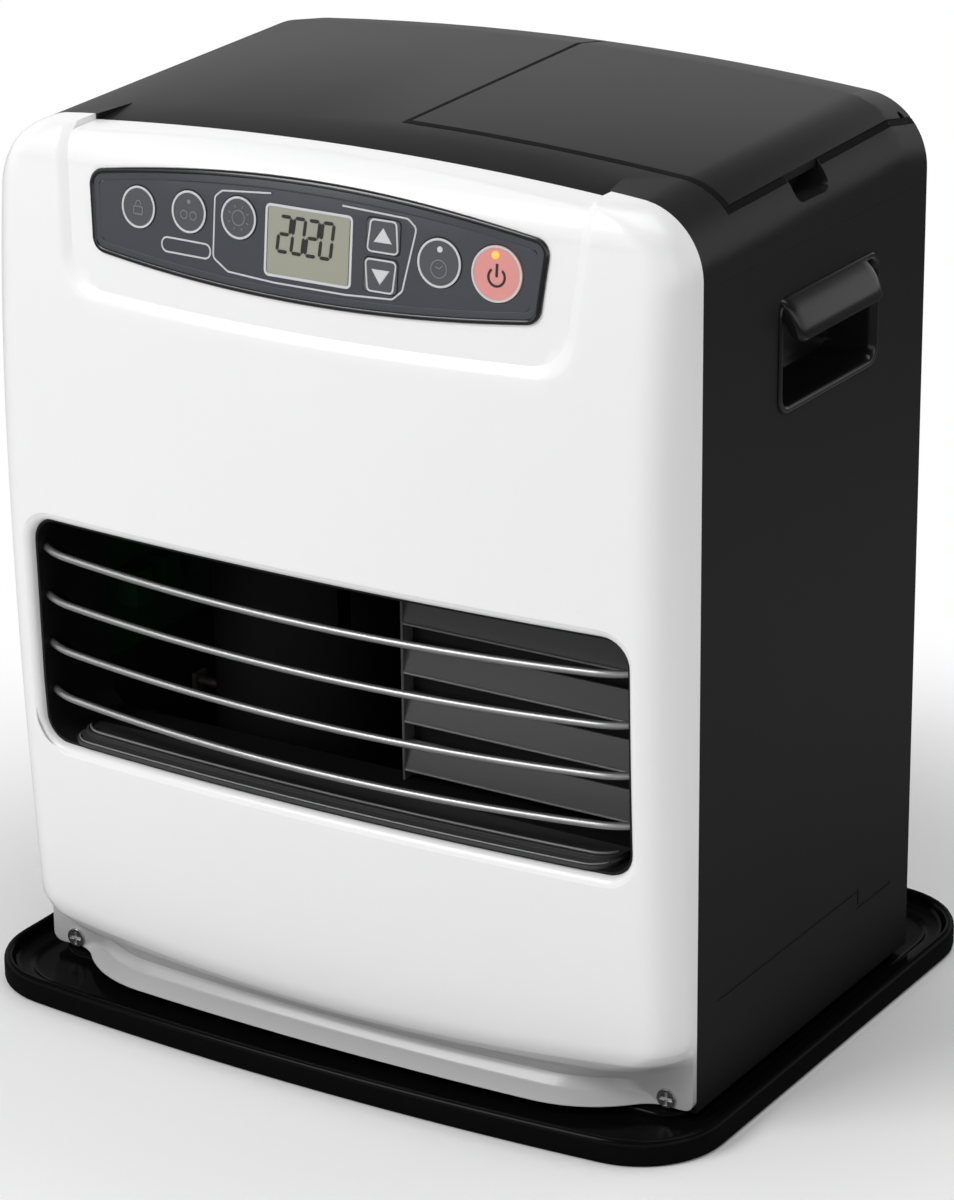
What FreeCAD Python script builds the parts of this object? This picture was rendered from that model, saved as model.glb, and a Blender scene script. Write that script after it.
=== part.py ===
import FreeCAD, Part
import math
import os

# Paraffin fan heater: a cabinet on a drip tray, a cartridge tank under a hinged lid, a vaporising burner
# behind a louvred outlet, a combustion blower beside it and a convection fan at the back.
# Millimetres. Origin on the floor under the middle of the tray, +X to the viewer's right, front towards -Y.

V = FreeCAD.Vector
UP = V(0, 0, 1)
DOWN = V(0, 0, -1)
RIGHT = V(1, 0, 0)
BACK = V(0, 1, 0)
FORTH = V(0, -1, 0)

# Fits and clearances
JOINT_GAP = 0.3
FIT_GAP = 0.2
PIN_GAP = 0.05
OVERRUN = 30.0
SHEET = 1.0
ANGLE_SLACK = 0.001

# Cabinet
CABINET_HALF = 169.0
FRONT_PLANE = -96.0
REAR_FACE = 101.0
SIDE_TOP = 370.0
SIDE_FOOT = 8.0
FLANGE_WIDTH = 18.0
REAR_FLANGE = 14.0
GROOVE_Z = 54.0
GROOVE_LOW_Z = 45.7
GROOVE_WIDTH = 1.6
GROOVE_DEPTH = 0.4

# Cabinet screws
SCREW_X = 156.2
SCREW_Z = 13.5
SCREW_HEAD_R = 4.4
SCREW_HEAD = 2.4
SCREW_SHANK_R = 2.0
SCREW_LENGTH = 9.0
CROSS_HALF = 3.1
CROSS_WALL = 0.7
CROSS_DEPTH = 1.4
REAR_SCREW_X = 160.5
REAR_SCREW_Z = (40.0, 200.0, 350.0)

# Front panel: a bowed and barrelled pressing with a rounded rim
FRONT_WALL = 1.6
FRONT_REACH = 133.2
BOW_RADIUS = 1650.0
BARREL_HEIGHT = 262.0
BARREL_LOWER_RADIUS = 2600.0
BARREL_UPPER_RADIUS = 1050.0
RIM_RADIUS = 22.0
RIM_ANGLES = (0, 30, 54, 72, 83)
SIDE_CORNER = 17.0
SIDE_CORNER_SHARE = 0.7
CROWN_TOP = 410.6
CROWN_RADIUS = 1560.0
CROWN_CORNER = 31.0
FRONT_FOOT = 41.0
FRONT_LEVELS = (41.0, 150.0, 262.0, 325.0, 362.0)

# Control recess in the front panel
RECESS_DEPTH = 2.5
RECESS_HALF_TOP = 131.0
RECESS_HALF_FOOT = 121.0
RECESS_FOOT_MID = 335.5
RECESS_FOOT_END = 338.5
RECESS_CORNER = 17.0

# Roll-under, cove and foot lip of the front panel, from the front foot down
PLINTH_FOOT = 9.5
PLINTH_COVE = 10.0
PLINTH_INSET = 9.0
PLINTH_CORNER_GAIN = 43.0
SLICE_BACK = -60.0
PLINTH_FALL_SHARES = (0, 0.16, 0.32, 0.5, 0.72, 0.88, 1)
PLINTH_COVE_SHARES = (0, 0.05, 0.25, 0.75, 1, 0.6, -0.3)
PLINTH_INSET_SHARES = (0, 0.12, 0.4, 0.8, 1, 1, 1)
TAB_WIDTH = 20.0
TAB_SHEET = 1.6

# Drip tray
TRAY_WIDTH = 371.0
TRAY_DEPTH = 299.0
TRAY_CORNER = 41.0
TRAY_BOW = 10.6
TRAY_RIM = 12.0
TRAY_LIP = 4.4
TRAY_LIP_ROUND = 2.0
TRAY_SHEET = 1.4
TRAY_STEP_WIDTH = 9.0
TRAY_STEP = 4.6
DECK_TOP = 8.0
DECK_HALF = 165.0
DECK_FRONT = -104.0
DECK_REAR = 100.0
DECK_CORNER = 14.0

# Top cover
COVER_WALL = 2.4
COVER_RIDGE_RISE = 5.4
COVER_RIDGE = 78.0
COVER_REAR_RISE = 1.7
FACET_DEPTH = 20.0
FACET_DROP = 3.0
FACET_HALF = 126.0
FACET_SLANT = 4.0

# Tank lid and its hinge
LID_LEFT = 10.0
LID_RIGHT = 160.3
LID_FRONT = -60.0
LID_SEAM = 0.6
LID_RIB = 6.0
LID_RIB_INSET = 5.0
LID_RIB_WALL = 1.6
LEDGE = 5.0
LEDGE_DROP = 9.0
LEDGE_INSET = 3.0
LID_FOOT = 392.0
SLOT_TOP = 387.5
SLOT_REACH = 12.0
HINGE_Y = 93.5
HINGE_Z = 398.0
HINGE_PIN_R = 2.0
HINGE_PIN_LENGTH = 15.0
HINGE_X = (30.0, 138.0)
KNUCKLE_R = 4.0
KNUCKLE_WIDTH = 7.0
EAR_WIDTH = 5.0
NOTCH_HALF = 14.0
NOTCH_LEFT = 152.0
NOTCH_FOOT = 386.0
NOTCH_ROUND = 5.0

# Side handles
HANDLE_FRONT = -27.0
HANDLE_REAR = 53.0
HANDLE_FOOT = 303.0
HANDLE_TOP = 350.0
HANDLE_WALL = 1.5
HANDLE_DEPTH = 22.0
HANDLE_FLANGE = 3.0
HOOD_PROUD = 10.0
HOOD_DROP = 17.0
HOOD_TOP_SLOPE = 5.0
HOOD_ROUND = 2.5

# Outlet opening, duct and louvers
OUTLET_HALF = 151.0
OUTLET_FOOT = 121.0
OUTLET_TOP = 228.0
OUTLET_CORNER = 12.0
OUTLET_FLANGE = 7.0
DUCT_SHEET = 1.2
DUCT_BACK = -72.0
DUCT_SET_BACK = 4.0
LOUVER_COUNT = 4
LOUVER_TOP = 208.5
LOUVER_PITCH = 22.7
LOUVER_SET_BACK = 0.6
LOUVER_SHEET = 1.6
LOUVER_DEPTH = 20.0
LOUVER_FALL = 3.0
LOUVER_TURN = 14.0
LOUVER_BEAD = 1.4
SLAT_Y = -80.0
SLAT_HEIGHT = 13.0
SLAT_TILT = 4.0
SLAT_LEFT = 14.0
SLAT_TOP = 195.0

# Control unit
PANEL_HALF_TOP = 113.5
PANEL_HALF_FOOT = 110.0
PANEL_FOOT_MID = 347.8
PANEL_TOP_MID = 398.9
PANEL_FOOT_END = 354.8
PANEL_TOP_END = 388.5
PANEL_CORNER = 7.0
BEZEL_PROUD = 1.2
BEZEL_WIDTH = 4.5
FACE_BELOW = 0.6
FACE_WALL = 1.6
BUTTON_TRAVEL = 0.8
BUTTON_PROUD = 0.3
BUTTON_FLANGE = 1.2
BUTTON_FLANGE_GROW = 0.8
BUTTON_STEM_R = 2.5
BUTTON_STEM = 8.0
BOARD_Y = -112.0
BOARD_WALL = 1.6
BOARD_HALF = 108.0
BOARD_FOOT = 357.0
BOARD_TOP = 389.0
BOARD_POST_R = 2.0
BOARD_POSTS = ((100.0, 361.5), (103.5, 380.0))

# Buttons: place on the panel (x, z) and half size; the arrow keys are rounded squares
ROUND_BUTTONS = {
    "button_lock": (-85.9, 376.4, 9.0),
    "button_extend": (-59.3, 378.2, 9.0),
    "button_mode": (-33.7, 379.3, 9.0),
    "button_timer": (63.8, 374.0, 10.2),
    "button_power": (90.2, 373.0, 11.6),
}
KEY_BUTTONS = {
    "button_up": (37.2, 381.2, 7.9, 7.1),
    "button_down": (36.6, 365.0, 7.9, 7.1),
}
KEY_CORNER = 2.2
BUTTON_NAMES = tuple(ROUND_BUTTONS) + tuple(KEY_BUTTONS)

# Display
LCD_X = 1.0
LCD_Z = 372.5
LCD_HALF_X = 20.0
LCD_HALF_Z = 14.2
LCD_CORNER = 1.5
LCD_GLASS = 1.2
LCD_MODULE = 5.0

# Tank bay
BAY_LEFT = 11.4
BAY_WALL = 1.0
BAY_FRONT = -71.6
BAY_REAR = 92.0
BAY_TOP = 366.0
TANK_LEFT = 14.0
TANK_RIGHT = 143.0
TANK_FRONT = -53.0
TANK_REAR = 50.0
TANK_FOOT = 62.0
TANK_TOP = 341.0
TANK_CORNER = 16.0
TANK_WALL = 1.2
CAP_R = 24.0
CAP_HEIGHT = 20.0
CAP_WALL = 2.0
CAP_NECK = 8.0
CAP_RIBS = 8
CAP_RIB_R = 1.2
VALVE_R = 4.0
VALVE_LENGTH = 10.0
BAIL_ROD = 1.8
BAIL_HALF = 42.0
BAIL_REACH = 30.0
BAIL_Y = 0.0
BAIL_EAR = 9.0
BAIL_EAR_WALL = 2.0
BAIL_EAR_WIDTH = 10.0
BAIL_PIVOT = 5.4
BAIL_GRIP_R = 5.0
GAUGE_WIDTH = 16.0
GAUGE_HEIGHT = 90.0
GAUGE_WALL = 1.2
GAUGE_FOOT = 130.0

# Fixed fuel tank, strainer, pump and pipe
SUMP_LEFT = 16.0
SUMP_RIGHT = 158.0
SUMP_FRONT = -58.0
SUMP_REAR = 88.0
SUMP_HEIGHT = 30.0
SUMP_CORNER = 10.0
SUMP_WALL = 1.2
WELL_R = 29.0
WELL_X = 78.0
WELL_Y = -2.0
COLLAR_WALL = 1.6
PILLAR_R = 6.0
STRAINER_R = 26.6
STRAINER_DEPTH = 16.0
STRAINER_WALL = 1.0
STRAINER_PIN_R = 3.0
STRAINER_SLOTS = 4
STRAINER_SLOT = 3.0
PUMP_X = 50.0
PUMP_Y = 69.0
PUMP_R = 13.0
PUMP_BODY = 42.0
PUMP_FLANGE_R = 17.0
PUMP_FLANGE = 3.0
PUMP_STEM_R = 5.0
PUMP_STEM = 22.0
PIPE_R = 2.0
PIPE_DROP_Z = 112.0

# Burner group
BURNER_X = -72.0
BURNER_Y = -14.0
BURNER_DECK = 62.0
BURNER_DECK_LEFT = -150.0
BURNER_DECK_FRONT = -72.0
BURNER_DECK_REAR = 36.0
DECK_SHEET = 1.5
DECK_LEG = 10.0
POT_R = 44.0
POT_HEIGHT = 34.0
POT_WALL = 2.0
HEAD_R = 34.0
HEAD_HEIGHT = 30.0
HEAD_WALL = 1.5
HEAD_PORTS = 8
HEAD_PORT_R = 2.2
CHAMBER_R = 50.0
CHAMBER_HEIGHT = 150.0
CHAMBER_WALL = 1.2
CHAMBER_LIP = 3.0
CHAMBER_TOP_R = 34.0
CHAMBER_CONE = 26.0
CHAMBER_SLOTS = 4
CHAMBER_SLOT_LOW = 75.0
CHAMBER_SLOT_HIGH = 133.0
SHIELD_GAP = 8.0
SHIELD_WALL = 1.0
SHIELD_TAB_TURNS = (30, 90, 150)
VAPOR_R = 9.0
VAPOR_LENGTH = 34.0
VAPOR_Z = 82.0
VAPOR_BODY = 28.0
VAPOR_HEATER_R = 3.0
IGNITER_R = 2.2
IGNITER_LENGTH = 30.0
ROD_R = 1.4
ROD_LENGTH = 34.0
PROBE_SPREAD = 10.0
PROBE_RISE = 22.0

# Combustion air blower
BLOWER_X = -98.0
BLOWER_Y = -14.0
BLOWER_R = 40.0
BLOWER_HEIGHT = 26.0
BLOWER_WALL = 1.6
AIR_DUCT_R = 8.0
AIR_DUCT_X = -70.0
IMPELLER_R = 30.0
IMPELLER_HUB_R = 8.0
IMPELLER_DISC = 1.6
IMPELLER_VANES = 10
IMPELLER_VANE = 14.0
SHAFT_R = 3.0
BLOWER_MOTOR_R = 17.0
BLOWER_MOTOR_HEIGHT = 18.0

# Convection fan
FAN_X = -66.0
FAN_Z = 190.0
FAN_R = 72.0
FAN_OPENING_R = 77.0
FAN_BLADES = 5
FAN_HUB_R = 17.0
FAN_HUB = 16.0
FAN_Y = 87.0
FAN_BLADE_WALL = 1.2
BLADE_ROOT_R = 12.0
FAN_PITCH = 28.0
FAN_SHAFT_R = 2.5
FAN_MOTOR_R = 26.0
FAN_MOTOR = 28.0
BRACKET_WIDTH = 18.0
BRACKET_SHEET = 1.6

# Rear panel, guard and filter
REAR_SHEET = 1.0
GUARD_R = 84.0
GUARD_RING = 4.0
GUARD_DEPTH = 22.0
GUARD_RINGS = 4
GUARD_WIRE = 1.8
GUARD_SPOKES = 6
FILTER_HALF = 88.0
FILTER_FRAME = 7.0
FILTER_BARS = 8
FILTER_BAR = 1.6
GLAND_X = 130.0
GLAND_Z = 40.0
GLAND_R = 7.0
GLAND_FLANGE_R = 9.5
GLAND_BORE_R = 3.6
GLAND_LENGTH = 7.0

# Electrics
MAIN_BOARD_X = -158.0
MAIN_BOARD_FRONT = -70.0
MAIN_BOARD_REAR = 60.0
MAIN_BOARD_FOOT = 140.0
MAIN_BOARD_TOP = 300.0
POST_R = 3.0
TILT_SIZE = 16.0
TILT_X = -142.0
SENSOR_R = 4.0
SENSOR_LENGTH = 16.0
COMPONENT_HEIGHT = 12.0
COMPONENT_WIDTH = 24.0
COMPONENT_RISE = 17.0
COMPONENT_ROWS = 4
SENSOR_Z = 250.0


def box(x0, x1, y0, y1, z0, z1):
    return Part.makeBox(x1 - x0, y1 - y0, z1 - z0, V(x0, y0, z0))


def rod(radius, length, base, axis=UP):
    return Part.makeCylinder(radius, length, base, axis)


def tube(outer, inner, length, base, axis=UP):
    return rod(outer, length, base, axis).cut(rod(inner, length, base, axis))


def joined(shapes):
    return shapes[0].fuse(shapes[1:]).removeSplitter()


def parallel_edges(shape, axis):
    chosen = []
    for edge in shape.Edges:
        if isinstance(edge.Curve, Part.Line) and abs(abs(edge.Curve.Direction.dot(axis)) - 1) < ANGLE_SLACK:
            chosen.append(edge)
    return chosen


def rounded_box(x0, x1, y0, y1, z0, z1, radius, axis=UP):
    block = box(x0, x1, y0, y1, z0, z1)
    return block.makeFillet(radius, parallel_edges(block, axis))


def polygon_prism(points, travel):
    return Part.Face(Part.makePolygon(points + points[:1])).extrude(travel)


# Plan outline with a bowed front, round corners and a straight or rounded back
def plan_wire(half, reach, bow, corner, back, back_corner, z):
    cx = half - corner
    turn = math.asin(cx / (bow - corner))
    cy = -reach + bow - (bow - corner) * math.cos(turn)
    quarter = math.pi / 2
    middle = (turn + quarter) / 2

    def front(angle, side):
        return V(side * (cx + corner * math.sin(angle)), cy - corner * math.cos(angle), z)

    def rear(angle, side):
        return V(side * (half - back_corner + back_corner * math.sin(angle)),
                 back - back_corner + back_corner * math.cos(angle), z)

    edges = []
    edges.append(Part.Arc(front(quarter, -1), front(middle, -1), front(turn, -1)).toShape())
    edges.append(Part.Arc(front(turn, -1), V(0, -reach, z), front(turn, 1)).toShape())
    edges.append(Part.Arc(front(turn, 1), front(middle, 1), front(quarter, 1)).toShape())
    edges.append(Part.LineSegment(front(quarter, 1), rear(quarter, 1)).toShape())
    if back_corner > 0:
        edges.append(Part.Arc(rear(quarter, 1), rear(quarter / 2, 1), rear(0, 1)).toShape())
    edges.append(Part.LineSegment(rear(0, 1), rear(0, -1)).toShape())
    if back_corner > 0:
        edges.append(Part.Arc(rear(0, -1), rear(quarter / 2, -1), rear(quarter, -1)).toShape())
    edges.append(Part.LineSegment(rear(quarter, -1), front(quarter, -1)).toShape())
    return Part.Wire(edges)


def slices_loft(wires):
    return Part.makeLoft(wires, True, True)


# Half width of the cabinet front at a height, by its straight sides, round shoulders and flat crown
def half_width(z, inset):
    corner = CROWN_CORNER - inset
    crown = CROWN_RADIUS - inset
    crown_z = CROWN_TOP - CROWN_RADIUS
    shoulder_x = CABINET_HALF - CROWN_CORNER
    shoulder_z = crown_z + math.sqrt((CROWN_RADIUS - CROWN_CORNER) ** 2 - shoulder_x ** 2)
    meeting_z = crown_z + (shoulder_z - crown_z) * crown / (crown - corner)
    if z <= shoulder_z:
        return CABINET_HALF - inset
    if z <= meeting_z:
        return shoulder_x + math.sqrt(corner ** 2 - (z - shoulder_z) ** 2)
    return math.sqrt(crown ** 2 - (z - crown_z) ** 2)


def barrel_reach(z):
    radius = BARREL_UPPER_RADIUS if z > BARREL_HEIGHT else BARREL_LOWER_RADIUS
    return FRONT_REACH - (z - BARREL_HEIGHT) ** 2 / (2 * radius)


def front_reach(z, inset):
    centre = CROWN_TOP - RIM_RADIUS
    if z <= centre:
        return barrel_reach(z) - inset
    return barrel_reach(centre) - RIM_RADIUS + math.sqrt((RIM_RADIUS - inset) ** 2 - (z - centre) ** 2)


def front_slice(z, inset):
    reach = front_reach(z, inset)
    half = half_width(z, inset)
    corner = min(SIDE_CORNER - inset, SIDE_CORNER_SHARE * half)
    return plan_wire(half, reach, BOW_RADIUS - inset, corner, SLICE_BACK, 0, z)


def plinth_slice(fall_share, cove_share, inset_share, inset):
    z = FRONT_FOOT - fall_share * (FRONT_FOOT - PLINTH_FOOT)
    reach = barrel_reach(FRONT_FOOT) - cove_share * PLINTH_COVE - inset
    half = CABINET_HALF - inset_share * PLINTH_INSET - inset
    corner = SIDE_CORNER + inset_share * PLINTH_CORNER_GAIN - inset
    return plan_wire(half, reach, BOW_RADIUS - inset, corner, SLICE_BACK, 0, z)


# The whole front form taken inwards by an inset
def front_body(inset):
    wires = []
    for shares in zip(PLINTH_FALL_SHARES[:0:-1], PLINTH_COVE_SHARES[:0:-1], PLINTH_INSET_SHARES[:0:-1]):
        wires.append(plinth_slice(*shares, inset))
    for z in FRONT_LEVELS:
        wires.append(front_slice(z, inset))
    centre = CROWN_TOP - RIM_RADIUS
    for angle in RIM_ANGLES:
        wires.append(front_slice(centre + (RIM_RADIUS - inset) * math.sin(math.radians(angle)), inset))
    return slices_loft(wires)


def before_plane(y):
    span = CABINET_HALF + OVERRUN
    return box(-span, span, -FRONT_REACH - OVERRUN, y, -OVERRUN, CROWN_TOP + OVERRUN)


# Prism along Y whose foot and top edges are arcs, for the recess and the control unit
def bowed_prism(half_top, half_foot, foot_mid, foot_end, top_mid, top_end, corner):
    y = -FRONT_REACH - OVERRUN
    foot = Part.Arc(V(-half_foot, y, foot_end), V(0, y, foot_mid), V(half_foot, y, foot_end)).toShape()
    right = Part.LineSegment(V(half_foot, y, foot_end), V(half_top, y, top_end)).toShape()
    top = Part.Arc(V(half_top, y, top_end), V(0, y, top_mid), V(-half_top, y, top_end)).toShape()
    left = Part.LineSegment(V(-half_top, y, top_end), V(-half_foot, y, foot_end)).toShape()
    outline = Part.Face(Part.Wire([foot, right, top, left]))
    prism = outline.extrude(BACK * (2 * OVERRUN + FRONT_REACH + FRONT_PLANE))
    return prism.makeFillet(corner, parallel_edges(prism, BACK))


def recess_prism(grow):
    top = CROWN_TOP + 2 * RECESS_CORNER + grow
    return bowed_prism(RECESS_HALF_TOP + grow, RECESS_HALF_FOOT + grow, RECESS_FOOT_MID - grow,
                       RECESS_FOOT_END - grow, top, top - RECESS_DEPTH, RECESS_CORNER)


def panel_prism(inset):
    return bowed_prism(PANEL_HALF_TOP - inset, PANEL_HALF_FOOT - inset, PANEL_FOOT_MID + inset,
                       PANEL_FOOT_END + inset, PANEL_TOP_MID - inset, PANEL_TOP_END - inset,
                       PANEL_CORNER - inset / 2)


def outlet_prism(inset, front, back):
    return rounded_box(-OUTLET_HALF + inset, OUTLET_HALF - inset, front, back,
                       OUTLET_FOOT + inset, OUTLET_TOP - inset, OUTLET_CORNER - inset, BACK)


def screw_places():
    front = [V(side * SCREW_X, FRONT_PLANE - TAB_SHEET, SCREW_Z) for side in (-1, 1)]
    rear = [V(side * REAR_SCREW_X, REAR_FACE, z) for side in (-1, 1) for z in REAR_SCREW_Z]
    return front, rear


def make_front_panel():
    outer = front_body(0).cut(recess_prism(0).cut(front_body(RECESS_DEPTH)))
    inner = front_body(FRONT_WALL).cut(recess_prism(FRONT_WALL).cut(front_body(RECESS_DEPTH + FRONT_WALL)))
    inner = inner.fuse(inner_foot())
    shell = outer.cut(inner)
    front = -FRONT_REACH - OVERRUN
    opening = outlet_prism(0, front, SLICE_BACK)
    collar = outlet_prism(-FRONT_WALL, front, SLICE_BACK).cut(opening)
    collar = collar.common(front_body(0).cut(front_body(OUTLET_FLANGE)))
    shell = shell.fuse(collar).cut(opening)
    shell = shell.cut(panel_prism(BEZEL_WIDTH)).common(before_plane(FRONT_PLANE))
    tabs = []
    for side in (-1, 1):
        x0, x1 = sorted((side * (CABINET_HALF - FRONT_WALL), side * (CABINET_HALF - TAB_WIDTH)))
        tab = box(x0, x1, FRONT_PLANE - TAB_SHEET, FRONT_PLANE, PLINTH_FOOT, FRONT_FOOT)
        tabs.append(tab)
    shell = joined([shell] + tabs)
    for place in screw_places()[0]:
        shell = shell.cut(rod(SCREW_SHANK_R + PIN_GAP, OVERRUN, place + FORTH * SHEET, BACK))
    return shell


# What opens the foot of the front panel downwards
def inner_foot():
    lowest = plinth_slice(PLINTH_FALL_SHARES[-1], PLINTH_COVE_SHARES[-1], PLINTH_INSET_SHARES[-1], FRONT_WALL)
    return Part.Face(lowest).extrude(DOWN * SHEET)


def screw(place, axis):
    head_face = place - axis * SCREW_HEAD
    body = rod(SCREW_HEAD_R, SCREW_HEAD, head_face, axis).fuse(rod(SCREW_SHANK_R, SCREW_LENGTH, place, axis))
    y0, y1 = sorted((head_face.y, head_face.y + axis.y * CROSS_DEPTH))
    for half_x, half_z in ((CROSS_HALF, CROSS_WALL), (CROSS_WALL, CROSS_HALF)):
        body = body.cut(box(place.x - half_x, place.x + half_x, y0, y1, place.z - half_z, place.z + half_z))
    return body


def make_screws():
    front, rear = screw_places()
    return Part.makeCompound([screw(p, BACK) for p in front] + [screw(p, FORTH) for p in rear])


def make_tray():
    bow = (TRAY_WIDTH / 2) ** 2 / (2 * TRAY_BOW)

    def ring(inset, z):
        return plan_wire(TRAY_WIDTH / 2 - inset, TRAY_DEPTH / 2 - inset, bow, TRAY_CORNER - inset,
                         TRAY_DEPTH / 2 - inset, TRAY_CORNER - inset, z)

    def plug(inset, z0, z1):
        return Part.Face(ring(inset, z0)).extrude(UP * (z1 - z0))

    rim_foot = TRAY_RIM - TRAY_LIP_ROUND
    outer = slices_loft([ring(TRAY_SHEET, 0), ring(0, TRAY_SHEET), ring(0, rim_foot),
                         ring(TRAY_LIP_ROUND / 4, TRAY_RIM - TRAY_LIP_ROUND / 3),
                         ring(TRAY_LIP_ROUND, TRAY_RIM)])
    deck = rounded_box(-DECK_HALF, DECK_HALF, DECK_FRONT, DECK_REAR, 0, DECK_TOP, DECK_CORNER)
    pocket = plug(TRAY_LIP, TRAY_STEP + TRAY_SHEET, TRAY_RIM + OVERRUN)
    pocket = pocket.fuse(plug(TRAY_LIP + TRAY_STEP_WIDTH, TRAY_STEP, TRAY_RIM + OVERRUN))
    under = plug(TRAY_LIP + TRAY_STEP_WIDTH, -OVERRUN, TRAY_STEP - TRAY_SHEET)
    sheet = TRAY_SHEET
    inner_deck = rounded_box(-DECK_HALF + sheet, DECK_HALF - sheet, DECK_FRONT + sheet, DECK_REAR - sheet,
                             -OVERRUN, DECK_TOP - sheet, DECK_CORNER - sheet)
    return outer.cut(pocket).cut(under).fuse(deck).cut(inner_deck).removeSplitter()


def handle_opening(grow):
    return box(CABINET_HALF - HANDLE_DEPTH - grow, CABINET_HALF + OVERRUN,
               HANDLE_FRONT - grow, HANDLE_REAR + grow, HANDLE_FOOT - grow, HANDLE_TOP - HANDLE_FLANGE + grow)


def make_side(side):
    half = CABINET_HALF
    wall = box(half - SHEET, half, FRONT_PLANE, REAR_FACE, SIDE_FOOT, SIDE_TOP)
    front = box(half - FLANGE_WIDTH, half, FRONT_PLANE, FRONT_PLANE + SHEET, SIDE_FOOT, SIDE_TOP)
    rear = box(half - REAR_FLANGE, half, REAR_FACE - SHEET, REAR_FACE, SIDE_FOOT, SIDE_TOP)
    panel = joined([wall, front, rear]).cut(handle_opening(HANDLE_WALL))
    groove_x = half - GROOVE_DEPTH
    step_y = HANDLE_REAR - HANDLE_FLANGE
    lines = [(FRONT_PLANE + FLANGE_WIDTH, step_y, GROOVE_Z), (step_y, REAR_FACE - FLANGE_WIDTH, GROOVE_LOW_Z)]
    for y0, y1, z in lines:
        panel = panel.cut(box(groove_x, half + SHEET, y0, y1, z - GROOVE_WIDTH / 2, z + GROOVE_WIDTH / 2))
    panel = panel.cut(box(groove_x, half + SHEET, step_y, step_y + GROOVE_WIDTH,
                          GROOVE_LOW_Z - GROOVE_WIDTH / 2, GROOVE_Z + GROOVE_WIDTH / 2))
    front_places, rear_places = screw_places()
    for place in front_places + rear_places:
        if place.x > 0:
            panel = panel.cut(rod(SCREW_SHANK_R + PIN_GAP, OVERRUN, place - BACK * OVERRUN / 2, BACK))
    return panel if side > 0 else panel.mirror(V(0, 0, 0), RIGHT)


def make_handle(side):
    cup = handle_opening(HANDLE_WALL).cut(handle_opening(0))
    cup = cup.cut(box(CABINET_HALF, CABINET_HALF + 2 * OVERRUN, -CABINET_HALF, CABINET_HALF, 0, CROWN_TOP))
    face = CABINET_HALF
    brim = rounded_box(face, face + SHEET, HANDLE_FRONT - 2 * HANDLE_FLANGE, HANDLE_REAR + HANDLE_FLANGE,
                       HANDLE_FOOT - HANDLE_FLANGE, HANDLE_TOP + SHEET, HANDLE_FLANGE, RIGHT)
    brim = brim.cut(handle_opening(0))
    top = HANDLE_TOP
    low = HANDLE_TOP - HOOD_DROP
    outline = [V(face, HANDLE_FRONT, top), V(face + HOOD_ROUND, HANDLE_FRONT, top),
               V(face + HOOD_PROUD, HANDLE_FRONT, low + HOOD_TOP_SLOPE),
               V(face + HOOD_PROUD, HANDLE_FRONT, low),
               V(face + HOOD_PROUD - HANDLE_FLANGE, HANDLE_FRONT, low),
               V(face, HANDLE_FRONT, top - HOOD_TOP_SLOPE)]
    hood = polygon_prism(outline, BACK * (HANDLE_REAR - HANDLE_FRONT - FLANGE_WIDTH))
    shape = joined([cup, brim, hood])
    return shape if side > 0 else shape.mirror(V(0, 0, 0), RIGHT)


# Cover outline in a plane across the cabinet
def crown_wire(y, rise, inset, foot):
    half = CABINET_HALF - inset
    corner = CROWN_CORNER - inset
    crown = CROWN_RADIUS - inset
    crown_z = CROWN_TOP + rise - CROWN_RADIUS
    shoulder_x = CABINET_HALF - CROWN_CORNER
    spread = math.asin(shoulder_x / (CROWN_RADIUS - CROWN_CORNER))
    shoulder_z = crown_z + (CROWN_RADIUS - CROWN_CORNER) * math.cos(spread)
    quarter = math.pi / 2
    middle = (spread + quarter) / 2

    def on(angle, side):
        return V(side * (shoulder_x + corner * math.sin(angle)), y, shoulder_z + corner * math.cos(angle))

    return Part.Wire([
        Part.LineSegment(V(-half, y, foot), on(quarter, -1)).toShape(),
        Part.Arc(on(quarter, -1), on(middle, -1), on(spread, -1)).toShape(),
        Part.Arc(on(spread, -1), V(0, y, crown_z + crown), on(spread, 1)).toShape(),
        Part.Arc(on(spread, 1), on(middle, 1), on(quarter, 1)).toShape(),
        Part.LineSegment(on(quarter, 1), V(half, y, foot)).toShape(),
        Part.LineSegment(V(half, y, foot), V(-half, y, foot)).toShape()])


def facet_wire(y, top, half):
    z = CROWN_TOP + OVERRUN
    end_z = top - half ** 2 / (2 * CROWN_RADIUS)
    return Part.Wire([
        Part.Arc(V(-half, y, end_z), V(0, y, top), V(half, y, end_z)).toShape(),
        Part.LineSegment(V(half, y, end_z), V(half, y, z)).toShape(),
        Part.LineSegment(V(half, y, z), V(-half, y, z)).toShape(),
        Part.LineSegment(V(-half, y, z), V(-half, y, end_z)).toShape()])


# Everything above the sloping facet along the front edge of the cover
def facet_space(inset):
    slope_rise = COVER_RIDGE_RISE * FACET_DEPTH / (COVER_RIDGE - FRONT_PLANE)
    step = FACET_DEPTH / 2
    climb = (slope_rise + FACET_DROP) / FACET_DEPTH
    wires = []
    for y in (FRONT_PLANE - step, FRONT_PLANE + FACET_DEPTH + inset):
        top = CROWN_TOP - FACET_DROP - inset + (y - FRONT_PLANE) * climb
        half = FACET_HALF - FACET_SLANT * (y - FRONT_PLANE) / FACET_DEPTH
        wires.append(facet_wire(y, top, half))
    return slices_loft(wires)


def cover_body(inset):
    foot = SIDE_TOP - (SHEET if inset else 0)
    wires = [crown_wire(FRONT_PLANE - (SHEET if inset else 0), 0, inset, foot),
             crown_wire(COVER_RIDGE, COVER_RIDGE_RISE, inset, foot),
             crown_wire(REAR_FACE - inset, COVER_REAR_RISE, inset, foot)]
    body = slices_loft(wires)
    return body.cut(facet_space(inset))


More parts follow.
